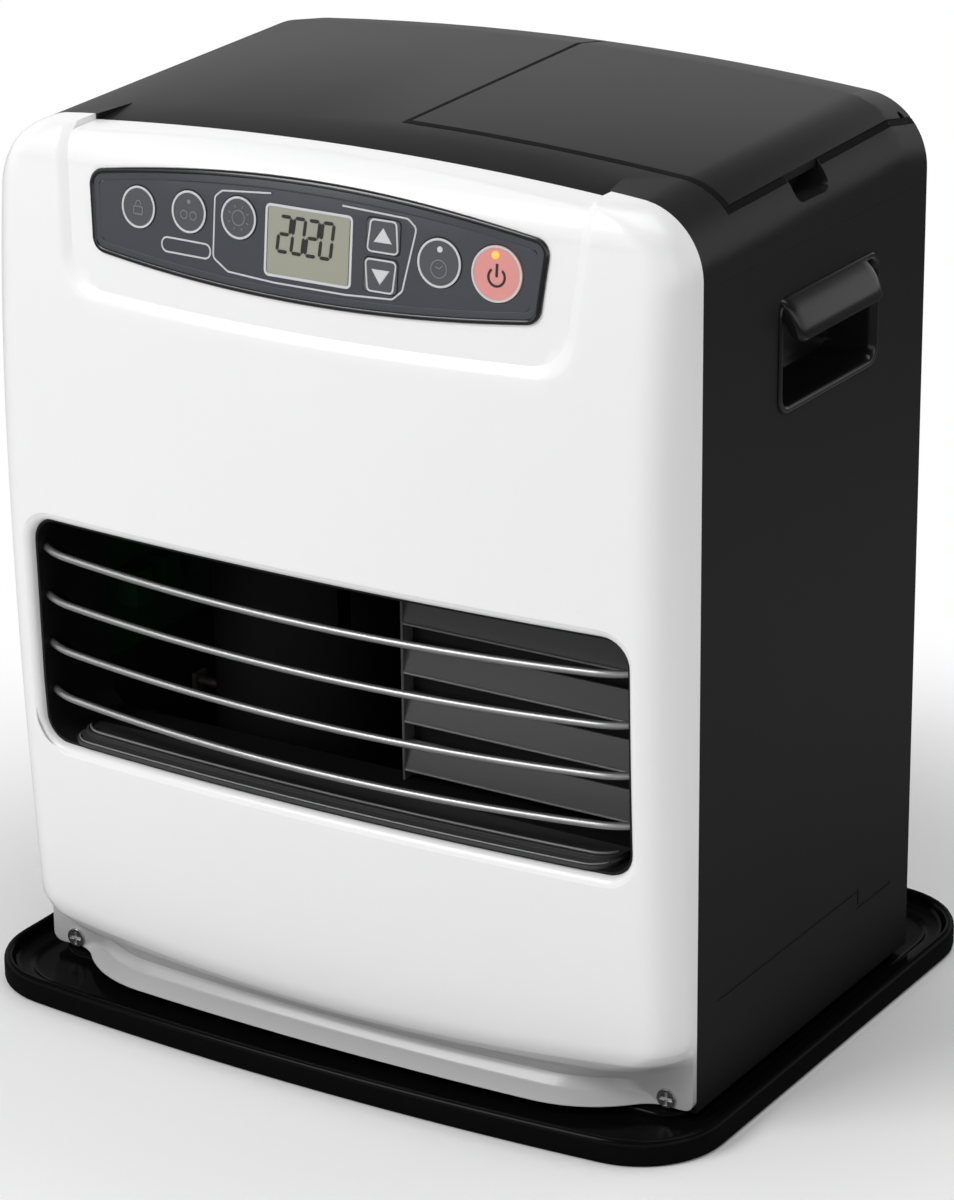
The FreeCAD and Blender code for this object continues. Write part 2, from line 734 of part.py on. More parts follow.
def ear_places():
    reach = KNUCKLE_WIDTH / 2 + JOINT_GAP
    places = []
    for x in HINGE_X:
        places.append((x - reach - EAR_WIDTH, x - reach))
        places.append((x + reach, x + reach + EAR_WIDTH))
    return places


def hinge_room(x):
    reach = KNUCKLE_WIDTH / 2 + EAR_WIDTH + 2 * JOINT_GAP
    return box(x - reach, x + reach, HINGE_Y - KNUCKLE_R - JOINT_GAP, REAR_FACE + SHEET, HINGE_Z - OVERRUN,
               HINGE_Z + KNUCKLE_R + COVER_WALL)


def make_cover():
    outer = cover_body(0)
    seam = LID_SEAM
    ledge_top = COVER_WALL + JOINT_GAP
    ledge_foot = ledge_top + COVER_WALL
    high = CROWN_TOP + 2 * OVERRUN
    around = seam + COVER_WALL
    seat_zone = box(LID_LEFT - around, LID_RIGHT + around, LID_FRONT - around, REAR_FACE, SIDE_TOP, high)
    seat = outer.cut(cover_body(ledge_foot)).common(seat_zone)
    skin = outer.cut(cover_body(COVER_WALL))
    cup = box(NOTCH_LEFT - COVER_WALL, CABINET_HALF, -NOTCH_HALF - COVER_WALL, NOTCH_HALF + COVER_WALL,
              NOTCH_FOOT - COVER_WALL, high).common(outer)
    lid_zone = box(LID_LEFT - seam, LID_RIGHT + seam, LID_FRONT - seam, REAR_FACE + SHEET, SIDE_TOP, high)
    lid_space = lid_zone.cut(cover_body(ledge_top))
    lid_space = lid_space.fuse(box(LID_LEFT - seam, LID_RIGHT + seam, HINGE_Y - SLOT_REACH,
                                   REAR_FACE + SHEET, SLOT_TOP, high))
    cover = joined([skin, seat, cup]).cut(lid_space)
    cover = cover.cut(box(LID_LEFT + LEDGE / 2, TANK_RIGHT + 2 * LEDGE_INSET, LID_FRONT + LEDGE_INSET,
                          REAR_FACE - LEDGE_DROP - COVER_WALL, SIDE_TOP - SHEET, high))
    notch = rounded_box(NOTCH_LEFT, CABINET_HALF + OVERRUN, -NOTCH_HALF, NOTCH_HALF, NOTCH_FOOT, high,
                        NOTCH_ROUND, RIGHT)
    cover = cover.cut(notch)
    ears = []
    for x0, x1 in ear_places():
        stem = box(x0, x1, HINGE_Y - KNUCKLE_R, REAR_FACE - COVER_WALL, HINGE_Z - OVERRUN / 2, SLOT_TOP)
        post = box(x0, x1, HINGE_Y - KNUCKLE_R, HINGE_Y + KNUCKLE_R, HINGE_Z - OVERRUN / 2, HINGE_Z)
        ears += [stem, post, rod(KNUCKLE_R, x1 - x0, V(x0, HINGE_Y, HINGE_Z), RIGHT)]
    cover = joined([cover] + ears)
    for x in HINGE_X:
        cover = cover.cut(rod(HINGE_PIN_R + PIN_GAP, 2 * OVERRUN, V(x - OVERRUN, HINGE_Y, HINGE_Z), RIGHT))
    return cover


def make_lid():
    zone = box(LID_LEFT, LID_RIGHT, LID_FRONT, REAR_FACE, SIDE_TOP, CROWN_TOP + OVERRUN)
    plate = cover_body(0).cut(cover_body(COVER_WALL)).common(zone)
    plate = plate.cut(box(-CABINET_HALF, CABINET_HALF, FRONT_PLANE, REAR_FACE + SHEET, 0, LID_FOOT))
    ribs = cover_body(COVER_WALL).cut(cover_body(COVER_WALL + LID_RIB))
    high = CROWN_TOP + OVERRUN
    left = LID_LEFT + 2 * LID_RIB_INSET
    near = LID_FRONT + 2 * LID_RIB_INSET
    far = HINGE_Y - 3 * KNUCKLE_R
    frame = box(left, TANK_RIGHT, near, far, 0, high)
    hollow = box(left + LID_RIB_WALL, TANK_RIGHT - LID_RIB_WALL, near + LID_RIB_WALL,
                 far - LID_RIB_WALL, 0, high)
    ribs = ribs.common(frame.cut(hollow))
    lid = plate
    for x in HINGE_X:
        lid = lid.cut(hinge_room(x))
    knuckles = [ribs]
    for x in HINGE_X:
        x0 = x - KNUCKLE_WIDTH / 2
        web = box(x0, x0 + KNUCKLE_WIDTH, HINGE_Y - KNUCKLE_R, HINGE_Y + KNUCKLE_R, HINGE_Z, high)
        knuckles.append(web.common(cover_body(COVER_WALL / 2)))
        knuckles.append(rod(KNUCKLE_R, KNUCKLE_WIDTH, V(x0, HINGE_Y, HINGE_Z), RIGHT))
    lid = joined([lid] + knuckles)
    for x in HINGE_X:
        lid = lid.cut(rod(HINGE_PIN_R + PIN_GAP, 2 * OVERRUN, V(x - OVERRUN, HINGE_Y, HINGE_Z), RIGHT))
    return lid


def make_hinge_pins():
    starts = [V(x - HINGE_PIN_LENGTH / 2, HINGE_Y, HINGE_Z) for x in HINGE_X]
    return Part.makeCompound([rod(HINGE_PIN_R, HINGE_PIN_LENGTH, start, RIGHT) for start in starts])


def make_bezel():
    ring = panel_prism(0).cut(panel_prism(BEZEL_WIDTH))
    return ring.common(front_body(BEZEL_PROUD).cut(front_body(RECESS_DEPTH)))


# A point on the control face and the outward normal there
def face_place(x, z):
    depth = BEZEL_PROUD + FACE_BELOW
    normal = V(x / BOW_RADIUS, -1, (z - BARREL_HEIGHT) / BARREL_UPPER_RADIUS)
    normal.normalize()
    return V(x, x ** 2 / (2 * BOW_RADIUS) - barrel_reach(z) + depth, z), normal


def button_body(name, grow, low, high):
    if name in ROUND_BUTTONS:
        x, z, radius = ROUND_BUTTONS[name]
        place, normal = face_place(x, z)
        return rod(radius + grow, high - low, place + normal * low, normal)
    x, z, half_x, half_z = KEY_BUTTONS[name]
    place, normal = face_place(x, z)
    key = rounded_box(-half_x - grow, half_x + grow, -half_z - grow, half_z + grow, low, high, KEY_CORNER)
    key.Placement = FreeCAD.Placement(place, FreeCAD.Rotation(RIGHT, BACK, normal, "ZXY"))
    return key


def make_button(name):
    seat = -FACE_WALL - JOINT_GAP
    cap = button_body(name, 0, seat - BUTTON_FLANGE, BUTTON_PROUD)
    flange = button_body(name, BUTTON_FLANGE_GROW, seat - BUTTON_FLANGE, seat)
    spot = ROUND_BUTTONS.get(name) or KEY_BUTTONS[name]
    place, normal = face_place(spot[0], spot[1])
    stem_end = -FACE_WALL - BUTTON_STEM
    stem = rod(BUTTON_STEM_R, BUTTON_STEM, place + normal * stem_end, normal)
    return joined([cap, flange, stem])


def lcd_prism(inset):
    front = -FRONT_REACH - OVERRUN
    return rounded_box(LCD_X - LCD_HALF_X + inset, LCD_X + LCD_HALF_X - inset, front, FRONT_PLANE,
                       LCD_Z - LCD_HALF_Z + inset, LCD_Z + LCD_HALF_Z - inset, LCD_CORNER, BACK)


def make_control_face():
    depth = BEZEL_PROUD + FACE_BELOW
    face = panel_prism(BEZEL_WIDTH).common(front_body(depth).cut(front_body(depth + FACE_WALL)))
    face = face.cut(lcd_prism(0))
    for name in BUTTON_NAMES:
        face = face.cut(button_body(name, JOINT_GAP, -OVERRUN, OVERRUN))
    posts = []
    for x, z in BOARD_POSTS:
        for side in (-1, 1):
            post = rod(BOARD_POST_R, FRONT_REACH + BOARD_Y, V(side * x, -FRONT_REACH, z), BACK)
            posts.append(post.common(front_body(depth + FACE_WALL / 2)))
    return joined([face] + posts)


def make_lcd_window():
    depth = BEZEL_PROUD + FACE_BELOW
    return lcd_prism(0).common(front_body(depth).cut(front_body(depth + LCD_GLASS)))


def make_lcd_module():
    return box(LCD_X - LCD_HALF_X, LCD_X + LCD_HALF_X, BOARD_Y - LCD_MODULE, BOARD_Y,
               LCD_Z - LCD_HALF_Z, LCD_Z + LCD_HALF_Z)


def make_control_board():
    board = box(-BOARD_HALF, BOARD_HALF, BOARD_Y, BOARD_Y + BOARD_WALL, BOARD_FOOT, BOARD_TOP)
    switches = []
    for name in BUTTON_NAMES:
        spot = ROUND_BUTTONS.get(name) or KEY_BUTTONS[name]
        place, normal = face_place(spot[0], spot[1])
        end = place - normal * (FACE_WALL + BUTTON_STEM)
        front = end.y + BUTTON_TRAVEL + 2 * JOINT_GAP
        half = BUTTON_STEM_R
        switches.append(box(end.x - half, end.x + half, front, BOARD_Y, end.z - half, end.z + half))
    return joined([board] + switches)


def make_duct():
    outer = outlet_prism(0, -FRONT_REACH - OVERRUN, DUCT_BACK)
    inner = outlet_prism(DUCT_SHEET, -FRONT_REACH - 2 * OVERRUN, DUCT_BACK + OVERRUN)
    behind = front_body(DUCT_SET_BACK).fuse(box(-CABINET_HALF, CABINET_HALF, FRONT_PLANE, DUCT_BACK,
                                                PLINTH_FOOT, SIDE_TOP))
    return outer.cut(inner).common(behind)


def make_louver(index):
    z = LOUVER_TOP - index * LOUVER_PITCH
    half = OUTLET_HALF - DUCT_SHEET
    reach = barrel_reach(z) - LOUVER_SET_BACK
    back = -reach + LOUVER_DEPTH
    sheet = LOUVER_SHEET
    blade = Part.Face(plan_wire(half, reach, BOW_RADIUS, LOUVER_TURN, back, 0, z)).extrude(UP * sheet)
    bead = Part.Face(plan_wire(half, reach, BOW_RADIUS, LOUVER_TURN, back, 0, z - LOUVER_BEAD))
    inside = Part.Face(plan_wire(half - sheet, reach - sheet, BOW_RADIUS, LOUVER_TURN - sheet,
                                 OVERRUN, 0, z - 2 * LOUVER_BEAD))
    bead = bead.extrude(UP * (2 * LOUVER_BEAD)).cut(inside.extrude(UP * (4 * LOUVER_BEAD)))
    louver = joined([blade, bead])
    tilt = math.degrees(math.asin(LOUVER_FALL / LOUVER_DEPTH))
    louver.rotate(V(0, -reach, z), RIGHT, tilt)
    return louver


def make_baffle():
    left = SLAT_LEFT
    right = OUTLET_HALF - DUCT_SHEET
    cheek = box(left - DUCT_SHEET, left, SLAT_Y, DUCT_BACK, OUTLET_FOOT + DUCT_SHEET, OUTLET_TOP - DUCT_SHEET)
    slats = [cheek]
    for index in range(LOUVER_COUNT):
        z = SLAT_TOP - index * LOUVER_PITCH
        profile = [V(left, SLAT_Y, z), V(left, SLAT_Y + DUCT_SHEET, z),
                   V(left, SLAT_Y + DUCT_SHEET + SLAT_TILT, z + SLAT_HEIGHT),
                   V(left, SLAT_Y + SLAT_TILT, z + SLAT_HEIGHT)]
        slats.append(polygon_prism(profile, RIGHT * (right - left)))
    return joined(slats).common(outlet_prism(DUCT_SHEET, -FRONT_REACH, DUCT_BACK))


def make_sill():
    half = OUTLET_HALF - OUTLET_CORNER
    z = OUTLET_FOOT + DUCT_SHEET
    reach = barrel_reach(z) - 2 * LOUVER_SHEET
    plate = Part.Face(plan_wire(half, reach, BOW_RADIUS, OUTLET_CORNER, FRONT_PLANE, 0, z))
    plate = plate.extrude(UP * LOUVER_SHEET)
    ridge = Part.Face(plan_wire(half, reach - OUTLET_FLANGE, BOW_RADIUS, OUTLET_CORNER, FRONT_PLANE, 0, z))
    back = Part.Face(plan_wire(half, reach - OUTLET_FLANGE - LOUVER_SHEET, BOW_RADIUS, OUTLET_CORNER,
                               FRONT_PLANE + SHEET, 0, z - SHEET))
    ridge = ridge.extrude(UP * (2 * LOUVER_SHEET)).cut(back.extrude(UP * OVERRUN))
    return joined([plate, ridge])


def make_partition():
    side = box(BAY_LEFT - BAY_WALL, BAY_LEFT, BAY_FRONT, BAY_REAR, DECK_TOP, BAY_TOP)
    front = box(BAY_LEFT, CABINET_HALF - FLANGE_WIDTH, BAY_FRONT, BAY_FRONT + BAY_WALL, DECK_TOP, BAY_TOP)
    foot = box(BAY_LEFT, SUMP_LEFT - JOINT_GAP, BAY_FRONT, BAY_REAR, DECK_TOP, DECK_TOP + BAY_WALL)
    notch = box(BAY_LEFT - 2 * BAY_WALL, BAY_LEFT + BAY_WALL, PUMP_Y - 2 * PIPE_R, PUMP_Y + 2 * PIPE_R,
                PIPE_DROP_Z - 2 * PIPE_R, PIPE_DROP_Z + 2 * PIPE_R)
    return joined([side, front, foot]).cut(notch)


def make_cartridge():
    outer = rounded_box(TANK_LEFT, TANK_RIGHT, TANK_FRONT, TANK_REAR, TANK_FOOT, TANK_TOP, TANK_CORNER)
    wall = TANK_WALL
    inner = rounded_box(TANK_LEFT + wall, TANK_RIGHT - wall, TANK_FRONT + wall, TANK_REAR - wall,
                        TANK_FOOT + wall, TANK_TOP - wall, TANK_CORNER - wall)
    neck_foot = V(WELL_X, WELL_Y, TANK_FOOT - CAP_NECK)
    neck = rod(CAP_R - CAP_WALL, CAP_NECK, neck_foot)
    ears = []
    for side in (-1, 1):
        x0, x1 = sorted((WELL_X + side * BAIL_HALF, WELL_X + side * (BAIL_HALF - BAIL_EAR_WALL)))
        reach = BAIL_EAR_WIDTH / 2
        ears.append(box(x0, x1, BAIL_Y - reach, BAIL_Y + reach, TANK_TOP, TANK_TOP + BAIL_EAR))
    tank = joined([outer, neck] + ears).cut(inner)
    tank = tank.cut(rod(CAP_R - 2 * CAP_WALL, CAP_NECK + OVERRUN / 2, neck_foot))
    return tank.cut(rod(BAIL_ROD, 2 * BAIL_HALF + OVERRUN,
                        V(WELL_X - BAIL_HALF - OVERRUN / 2, BAIL_Y, TANK_TOP + BAIL_PIVOT), RIGHT))


def make_cap():
    foot = TANK_FOOT - CAP_HEIGHT
    cap = rod(CAP_R, CAP_HEIGHT, V(WELL_X, WELL_Y, foot))
    cap = cap.cut(rod(CAP_R - CAP_WALL, CAP_HEIGHT, V(WELL_X, WELL_Y, foot + CAP_WALL)))
    ribs = []
    for index in range(CAP_RIBS):
        angle = 2 * math.pi * index / CAP_RIBS
        x = WELL_X + CAP_R * math.cos(angle)
        y = WELL_Y + CAP_R * math.sin(angle)
        half = CAP_RIB_R
        ribs.append(box(x - half, x + half, y - half, y + half, foot, TANK_FOOT - CAP_WALL))
    bore = rod(CAP_R - CAP_WALL, CAP_HEIGHT, V(WELL_X, WELL_Y, foot + CAP_WALL))
    valve = rod(VALVE_R, VALVE_LENGTH, V(WELL_X, WELL_Y, foot - VALVE_LENGTH))
    return joined([cap] + ribs + [valve]).cut(bore)


def make_bail():
    arm = BAIL_HALF - BAIL_EAR_WALL - JOINT_GAP - BAIL_ROD
    z = TANK_TOP + BAIL_PIVOT
    far = BAIL_Y + BAIL_REACH
    over = BAIL_ROD / 2
    parts = []
    for side in (-1, 1):
        x = WELL_X + side * arm
        parts.append(rod(BAIL_ROD, BAIL_REACH + 2 * over, V(x, BAIL_Y - over, z), BACK))
        pin = BAIL_HALF + JOINT_GAP - arm
        parts.append(rod(BAIL_ROD - PIN_GAP, pin, V(min(x, x + side * pin), BAIL_Y, z), RIGHT))
    parts.append(rod(BAIL_ROD - PIN_GAP, 2 * (arm + over), V(WELL_X - arm - over, far, z), RIGHT))
    grip = 2 * arm - 4 * BAIL_GRIP_R
    parts.append(rod(BAIL_GRIP_R, grip, V(WELL_X - grip / 2, far, z), RIGHT))
    return joined(parts)


def make_gauge():
    half = GAUGE_WIDTH / 2
    return rounded_box(WELL_X - half, WELL_X + half, TANK_FRONT - GAUGE_WALL, TANK_FRONT,
                       GAUGE_FOOT, GAUGE_FOOT + GAUGE_HEIGHT, GAUGE_WIDTH / 3, BACK)


def make_sump():
    top = DECK_TOP + SUMP_HEIGHT
    outer = rounded_box(SUMP_LEFT, SUMP_RIGHT, SUMP_FRONT, SUMP_REAR, DECK_TOP, top, SUMP_CORNER)
    wall = SUMP_WALL
    inner = rounded_box(SUMP_LEFT + wall, SUMP_RIGHT - wall, SUMP_FRONT + wall, SUMP_REAR - wall,
                        DECK_TOP + wall, top - wall, SUMP_CORNER - wall)
    centre = V(WELL_X, WELL_Y, top)
    collar = tube(WELL_R + COLLAR_WALL, WELL_R, CAP_NECK, centre)
    pillars = []
    for x in (TANK_LEFT + TANK_CORNER, TANK_RIGHT - TANK_CORNER):
        for y in (TANK_FRONT + TANK_CORNER, TANK_REAR - TANK_CORNER):
            pillars.append(rod(PILLAR_R, TANK_FOOT - JOINT_GAP - top, V(x, y, top)))
    sump = joined([outer, collar] + pillars).cut(inner)
    sump = sump.cut(rod(STRAINER_R + FIT_GAP, OVERRUN / 2, centre - UP * OVERRUN / 4))
    return sump.cut(rod(PUMP_STEM_R + FIT_GAP, OVERRUN / 2, V(PUMP_X, PUMP_Y, top - OVERRUN / 4)))


def make_strainer():
    top = DECK_TOP + SUMP_HEIGHT
    foot = top - STRAINER_DEPTH
    wall = STRAINER_WALL
    cup = rod(STRAINER_R, STRAINER_DEPTH, V(WELL_X, WELL_Y, foot))
    flange = rod(WELL_R - FIT_GAP, wall, V(WELL_X, WELL_Y, top))
    bore = rod(STRAINER_R - wall, SUMP_HEIGHT, V(WELL_X, WELL_Y, foot + wall))
    cup = cup.fuse(flange).cut(bore)
    for index in range(STRAINER_SLOTS):
        slot = box(0, 2 * STRAINER_R, -STRAINER_SLOT / 2, STRAINER_SLOT / 2, foot + 2 * wall, top - 2 * wall)
        slot.rotate(V(0, 0, 0), UP, 360 * index / STRAINER_SLOTS)
        slot.translate(V(WELL_X, WELL_Y, 0))
        cup = cup.cut(slot)
    valve_foot = TANK_FOOT - CAP_HEIGHT - VALVE_LENGTH
    return cup.fuse(rod(STRAINER_PIN_R, valve_foot - JOINT_GAP - foot, V(WELL_X, WELL_Y, foot)))


def make_pump():
    top = DECK_TOP + SUMP_HEIGHT
    base = V(PUMP_X, PUMP_Y, top)
    return joined([rod(PUMP_FLANGE_R, PUMP_FLANGE, base), rod(PUMP_R, PUMP_BODY, base + UP * PUMP_FLANGE),
                   rod(PUMP_STEM_R, PUMP_STEM, base - UP * PUMP_STEM)])


def make_pipe():
    top = DECK_TOP + SUMP_HEIGHT + PUMP_FLANGE + PUMP_BODY
    drop_x = BURNER_X + POT_R + VAPOR_LENGTH / 2 + PIPE_R
    path = [V(PUMP_X, PUMP_Y, top), V(PUMP_X, PUMP_Y, PIPE_DROP_Z), V(drop_x, PUMP_Y, PIPE_DROP_Z),
            V(drop_x, BURNER_Y, PIPE_DROP_Z), V(drop_x, BURNER_Y, VAPOR_Z + VAPOR_R)]
    pieces = []
    for start, end in zip(path, path[1:]):
        run = end - start
        along = run / run.Length
        before = PIPE_R / 2 if start != path[0] else 0
        after = PIPE_R / 2 if end != path[-1] else 0
        pieces.append(rod(PIPE_R, run.Length + before + after, start - along * before, along))
    return joined(pieces)


def make_burner_deck():
    right = BAY_LEFT - BAY_WALL - 2 * JOINT_GAP
    left = BURNER_DECK_LEFT
    front, rear = BURNER_DECK_FRONT, BURNER_DECK_REAR
    foot_top = DECK_TOP + DECK_SHEET
    pieces = [box(left, right, front, rear, BURNER_DECK, BURNER_DECK + DECK_SHEET),
              box(left, left + DECK_SHEET, front, rear, DECK_TOP, BURNER_DECK),
              box(right - DECK_SHEET, right, front, rear, DECK_TOP, BURNER_DECK),
              box(left, left + DECK_LEG, front, rear, DECK_TOP, foot_top),
              box(right - DECK_LEG, right, front, rear, DECK_TOP, foot_top)]
    hole = rod(AIR_DUCT_R, OVERRUN, V(AIR_DUCT_X, BURNER_Y, BURNER_DECK - OVERRUN / 2))
    return joined(pieces).cut(hole)


def make_pot():
    base = V(BURNER_X, BURNER_Y, BURNER_DECK + DECK_SHEET)
    rim = rod(CHAMBER_R + 2 * CHAMBER_LIP, POT_WALL, base + UP * (POT_HEIGHT - POT_WALL))
    pot = rod(POT_R, POT_HEIGHT, base).fuse(rim)
    pot = pot.cut(rod(POT_R - POT_WALL, POT_HEIGHT, base + UP * POT_WALL))
    return pot.cut(rod(AIR_DUCT_R, OVERRUN, V(AIR_DUCT_X, BURNER_Y, base.z - OVERRUN / 2)))


def make_head():
    foot = BURNER_DECK + DECK_SHEET + POT_HEIGHT
    base = V(BURNER_X, BURNER_Y, foot - HEAD_HEIGHT / 2)
    head = rod(HEAD_R, HEAD_HEIGHT, base).cut(rod(HEAD_R - HEAD_WALL, HEAD_HEIGHT - HEAD_WALL, base))
    spokes = box(-POT_R + POT_WALL, POT_R - POT_WALL, -HEAD_WALL, HEAD_WALL, 0, HEAD_WALL)
    spokes = spokes.fuse(spokes.rotated(V(0, 0, 0), UP, 90))
    spokes.translate(base)
    head = head.fuse(spokes.common(rod(POT_R - POT_WALL, HEAD_HEIGHT, base)))
    for index in range(HEAD_PORTS):
        port = rod(HEAD_PORT_R, 2 * HEAD_WALL + HEAD_R, V(0, 0, 0), RIGHT)
        port.rotate(V(0, 0, 0), UP, 360 * (index + 1 / 2) / HEAD_PORTS)
        port.translate(V(BURNER_X, BURNER_Y, foot + HEAD_HEIGHT / 4))
        head = head.cut(port)
    return head


def make_chamber():
    foot = BURNER_DECK + DECK_SHEET + POT_HEIGHT
    base = V(BURNER_X, BURNER_Y, foot)
    wall = CHAMBER_WALL
    body = tube(CHAMBER_R, CHAMBER_R - wall, CHAMBER_HEIGHT, base)
    lip = tube(CHAMBER_R + CHAMBER_LIP, CHAMBER_R - wall, wall, base)
    cone_base = base + UP * CHAMBER_HEIGHT
    cone = Part.makeCone(CHAMBER_R, CHAMBER_TOP_R, CHAMBER_CONE, cone_base)
    cone = cone.cut(Part.makeCone(CHAMBER_R - wall, CHAMBER_TOP_R - wall, CHAMBER_CONE, cone_base))
    chamber = joined([body, lip, cone])
    for index in range(CHAMBER_SLOTS):
        slot = box(0, 2 * CHAMBER_R, -CHAMBER_LIP, CHAMBER_LIP,
                   foot + CHAMBER_SLOT_LOW, foot + CHAMBER_SLOT_HIGH)
        slot.rotate(V(0, 0, 0), UP, 360 * (index + 1 / 2) / CHAMBER_SLOTS)
        slot.translate(V(BURNER_X, BURNER_Y, 0))
        chamber = chamber.cut(slot)
    for offset in (-PROBE_SPREAD, PROBE_SPREAD):
        start = V(BURNER_X - 2 * CHAMBER_R, BURNER_Y + offset, foot + PROBE_RISE)
        chamber = chamber.cut(rod(IGNITER_R, 2 * CHAMBER_R, start, RIGHT))
    return chamber


def make_probe(offset, tip_length):
    z = BURNER_DECK + DECK_SHEET + POT_HEIGHT + PROBE_RISE
    start = V(BURNER_X - CHAMBER_R - IGNITER_LENGTH / 2, BURNER_Y + offset, z)
    body = rod(IGNITER_R - PIN_GAP, IGNITER_LENGTH, start, RIGHT)
    collar = box(start.x, start.x + IGNITER_R, start.y - 2 * IGNITER_R, start.y + 2 * IGNITER_R,
                 z - 2 * IGNITER_R, z + 2 * IGNITER_R)
    reach = start.x + IGNITER_LENGTH
    return joined([body, collar, rod(ROD_R, tip_length, V(reach, start.y, z), RIGHT)])


def make_shield():
    foot = BURNER_DECK + DECK_SHEET + POT_HEIGHT + CHAMBER_HEIGHT / 4
    base = V(BURNER_X, BURNER_Y, foot)
    height = CHAMBER_HEIGHT - CHAMBER_HEIGHT / 4
    radius = CHAMBER_R + SHIELD_GAP
    shell = tube(radius + SHIELD_WALL, radius, height, base)
    shell = shell.common(box(BURNER_X - 2 * radius, BURNER_X + 2 * radius, BURNER_Y, BURNER_Y + 2 * radius,
                             foot, foot + height))
    tabs = [shell]
    for turn in SHIELD_TAB_TURNS:
        tab = box(CHAMBER_R - SHIELD_WALL, radius + SHIELD_WALL / 2, -SHIELD_GAP / 2, SHIELD_GAP / 2,
                  foot, foot + SHIELD_WALL)
        tab.rotate(V(0, 0, 0), UP, turn)
        tab.translate(V(BURNER_X, BURNER_Y, 0))
        tabs.append(tab)
    return joined(tabs).cut(rod(CHAMBER_R, 2 * CHAMBER_HEIGHT, V(BURNER_X, BURNER_Y, 0)))


def make_vaporizer():
    start = V(BURNER_X + POT_R, BURNER_Y, VAPOR_Z)
    body = rod(VAPOR_R, VAPOR_BODY, start, RIGHT)
    heater = rod(VAPOR_HEATER_R, VAPOR_LENGTH - VAPOR_BODY, start + RIGHT * VAPOR_BODY, RIGHT)
    return joined([body, heater]).cut(rod(POT_R, 2 * POT_HEIGHT, V(BURNER_X, BURNER_Y, BURNER_DECK)))


def make_blower_housing():
    base = V(BLOWER_X, BLOWER_Y, DECK_TOP)
    wall = BLOWER_WALL
    hollow = rod(BLOWER_R - wall, BLOWER_HEIGHT - 2 * wall, base + UP * wall)
    shell = rod(BLOWER_R, BLOWER_HEIGHT, base).cut(hollow)
    shell = shell.cut(rod(BLOWER_MOTOR_R / 2, OVERRUN, base + UP * (BLOWER_HEIGHT / 2)))
    duct_base = V(AIR_DUCT_X, BLOWER_Y, DECK_TOP + BLOWER_HEIGHT - wall)
    duct = rod(AIR_DUCT_R, BURNER_DECK + DECK_SHEET - duct_base.z, duct_base)
    shell = shell.fuse(duct)
    return shell.cut(rod(AIR_DUCT_R - wall, BURNER_DECK, duct_base - UP * wall))


def make_impeller():
    foot = DECK_TOP + BLOWER_WALL + 2 * JOINT_GAP + IMPELLER_DISC
    base = V(BLOWER_X, BLOWER_Y, foot)
    parts = [rod(IMPELLER_R, IMPELLER_DISC, base), rod(IMPELLER_HUB_R, IMPELLER_VANE / 2, base),
             rod(SHAFT_R, DECK_TOP + BLOWER_HEIGHT + BLOWER_MOTOR_HEIGHT / 2 - foot, base)]
    for index in range(IMPELLER_VANES):
        vane = box(IMPELLER_R - IMPELLER_HUB_R, IMPELLER_R, 0, IMPELLER_DISC, 0, IMPELLER_VANE)
        vane.rotate(V(IMPELLER_R, 0, 0), UP, -FAN_PITCH)
        vane.rotate(V(0, 0, 0), UP, 360 * index / IMPELLER_VANES)
        vane.translate(base)
        parts.append(vane.common(rod(IMPELLER_R, IMPELLER_VANE, base)))
    return joined(parts)


def make_blower_motor():
    base = V(BLOWER_X, BLOWER_Y, DECK_TOP + BLOWER_HEIGHT)
    motor = rod(BLOWER_MOTOR_R, BLOWER_MOTOR_HEIGHT, base)
    return motor.cut(rod(SHAFT_R + PIN_GAP, BLOWER_MOTOR_HEIGHT / 2 + JOINT_GAP, base))


def make_fan():
    base = V(FAN_X, FAN_Y, FAN_Z)
    hub = rod(FAN_HUB_R, FAN_HUB, base - BACK * FAN_HUB / 2, BACK)
    shaft = rod(FAN_SHAFT_R, FAN_MOTOR / 2, V(FAN_X, FAN_Y - FAN_MOTOR / 2, FAN_Z), BACK)
    parts = [hub, shaft]
    for index in range(FAN_BLADES):
        blade = box(-FAN_HUB_R, FAN_HUB_R, -FAN_BLADE_WALL / 2, FAN_BLADE_WALL / 2, BLADE_ROOT_R, FAN_R)
        blade.rotate(V(0, 0, 0), UP, FAN_PITCH)
        blade.translate(base)
        ring = tube(FAN_R, BLADE_ROOT_R, 2 * FAN_HUB, base - BACK * FAN_HUB, BACK)
        blade = blade.common(ring)
        blade.rotate(base, BACK, 360 * index / FAN_BLADES)
        parts.append(blade)
    return joined(parts)


def make_fan_motor():
    end = FAN_Y - FAN_HUB / 2 - 4 * JOINT_GAP
    motor = rod(FAN_MOTOR_R, FAN_MOTOR, V(FAN_X, end - FAN_MOTOR, FAN_Z), BACK)
    bore_start = V(FAN_X, FAN_Y - FAN_MOTOR / 2 - JOINT_GAP, FAN_Z)
    return motor.cut(rod(FAN_SHAFT_R + PIN_GAP, FAN_MOTOR, bore_start, BACK))


def make_fan_bracket():
    face = FAN_Y - FAN_HUB / 2 - 4 * JOINT_GAP - FAN_MOTOR
    reach = FAN_OPENING_R + FAN_HUB_R / 2
    half = BRACKET_WIDTH / 2
    sheet = BRACKET_SHEET
    rear = REAR_FACE - SHEET - REAR_SHEET
    parts = [box(FAN_X - half, FAN_X + half, face - sheet, face, FAN_Z - reach, FAN_Z + reach)]
    for side in (-1, 1):
        z0, z1 = sorted((FAN_Z + side * reach, FAN_Z + side * (reach - sheet)))
        parts.append(box(FAN_X - half, FAN_X + half, face - sheet, rear, z0, z1))
        z0, z1 = sorted((FAN_Z + side * (reach - sheet), FAN_Z + side * (reach + half)))
        parts.append(box(FAN_X - half, FAN_X + half, rear - sheet, rear, z0, z1))
    return joined(parts)


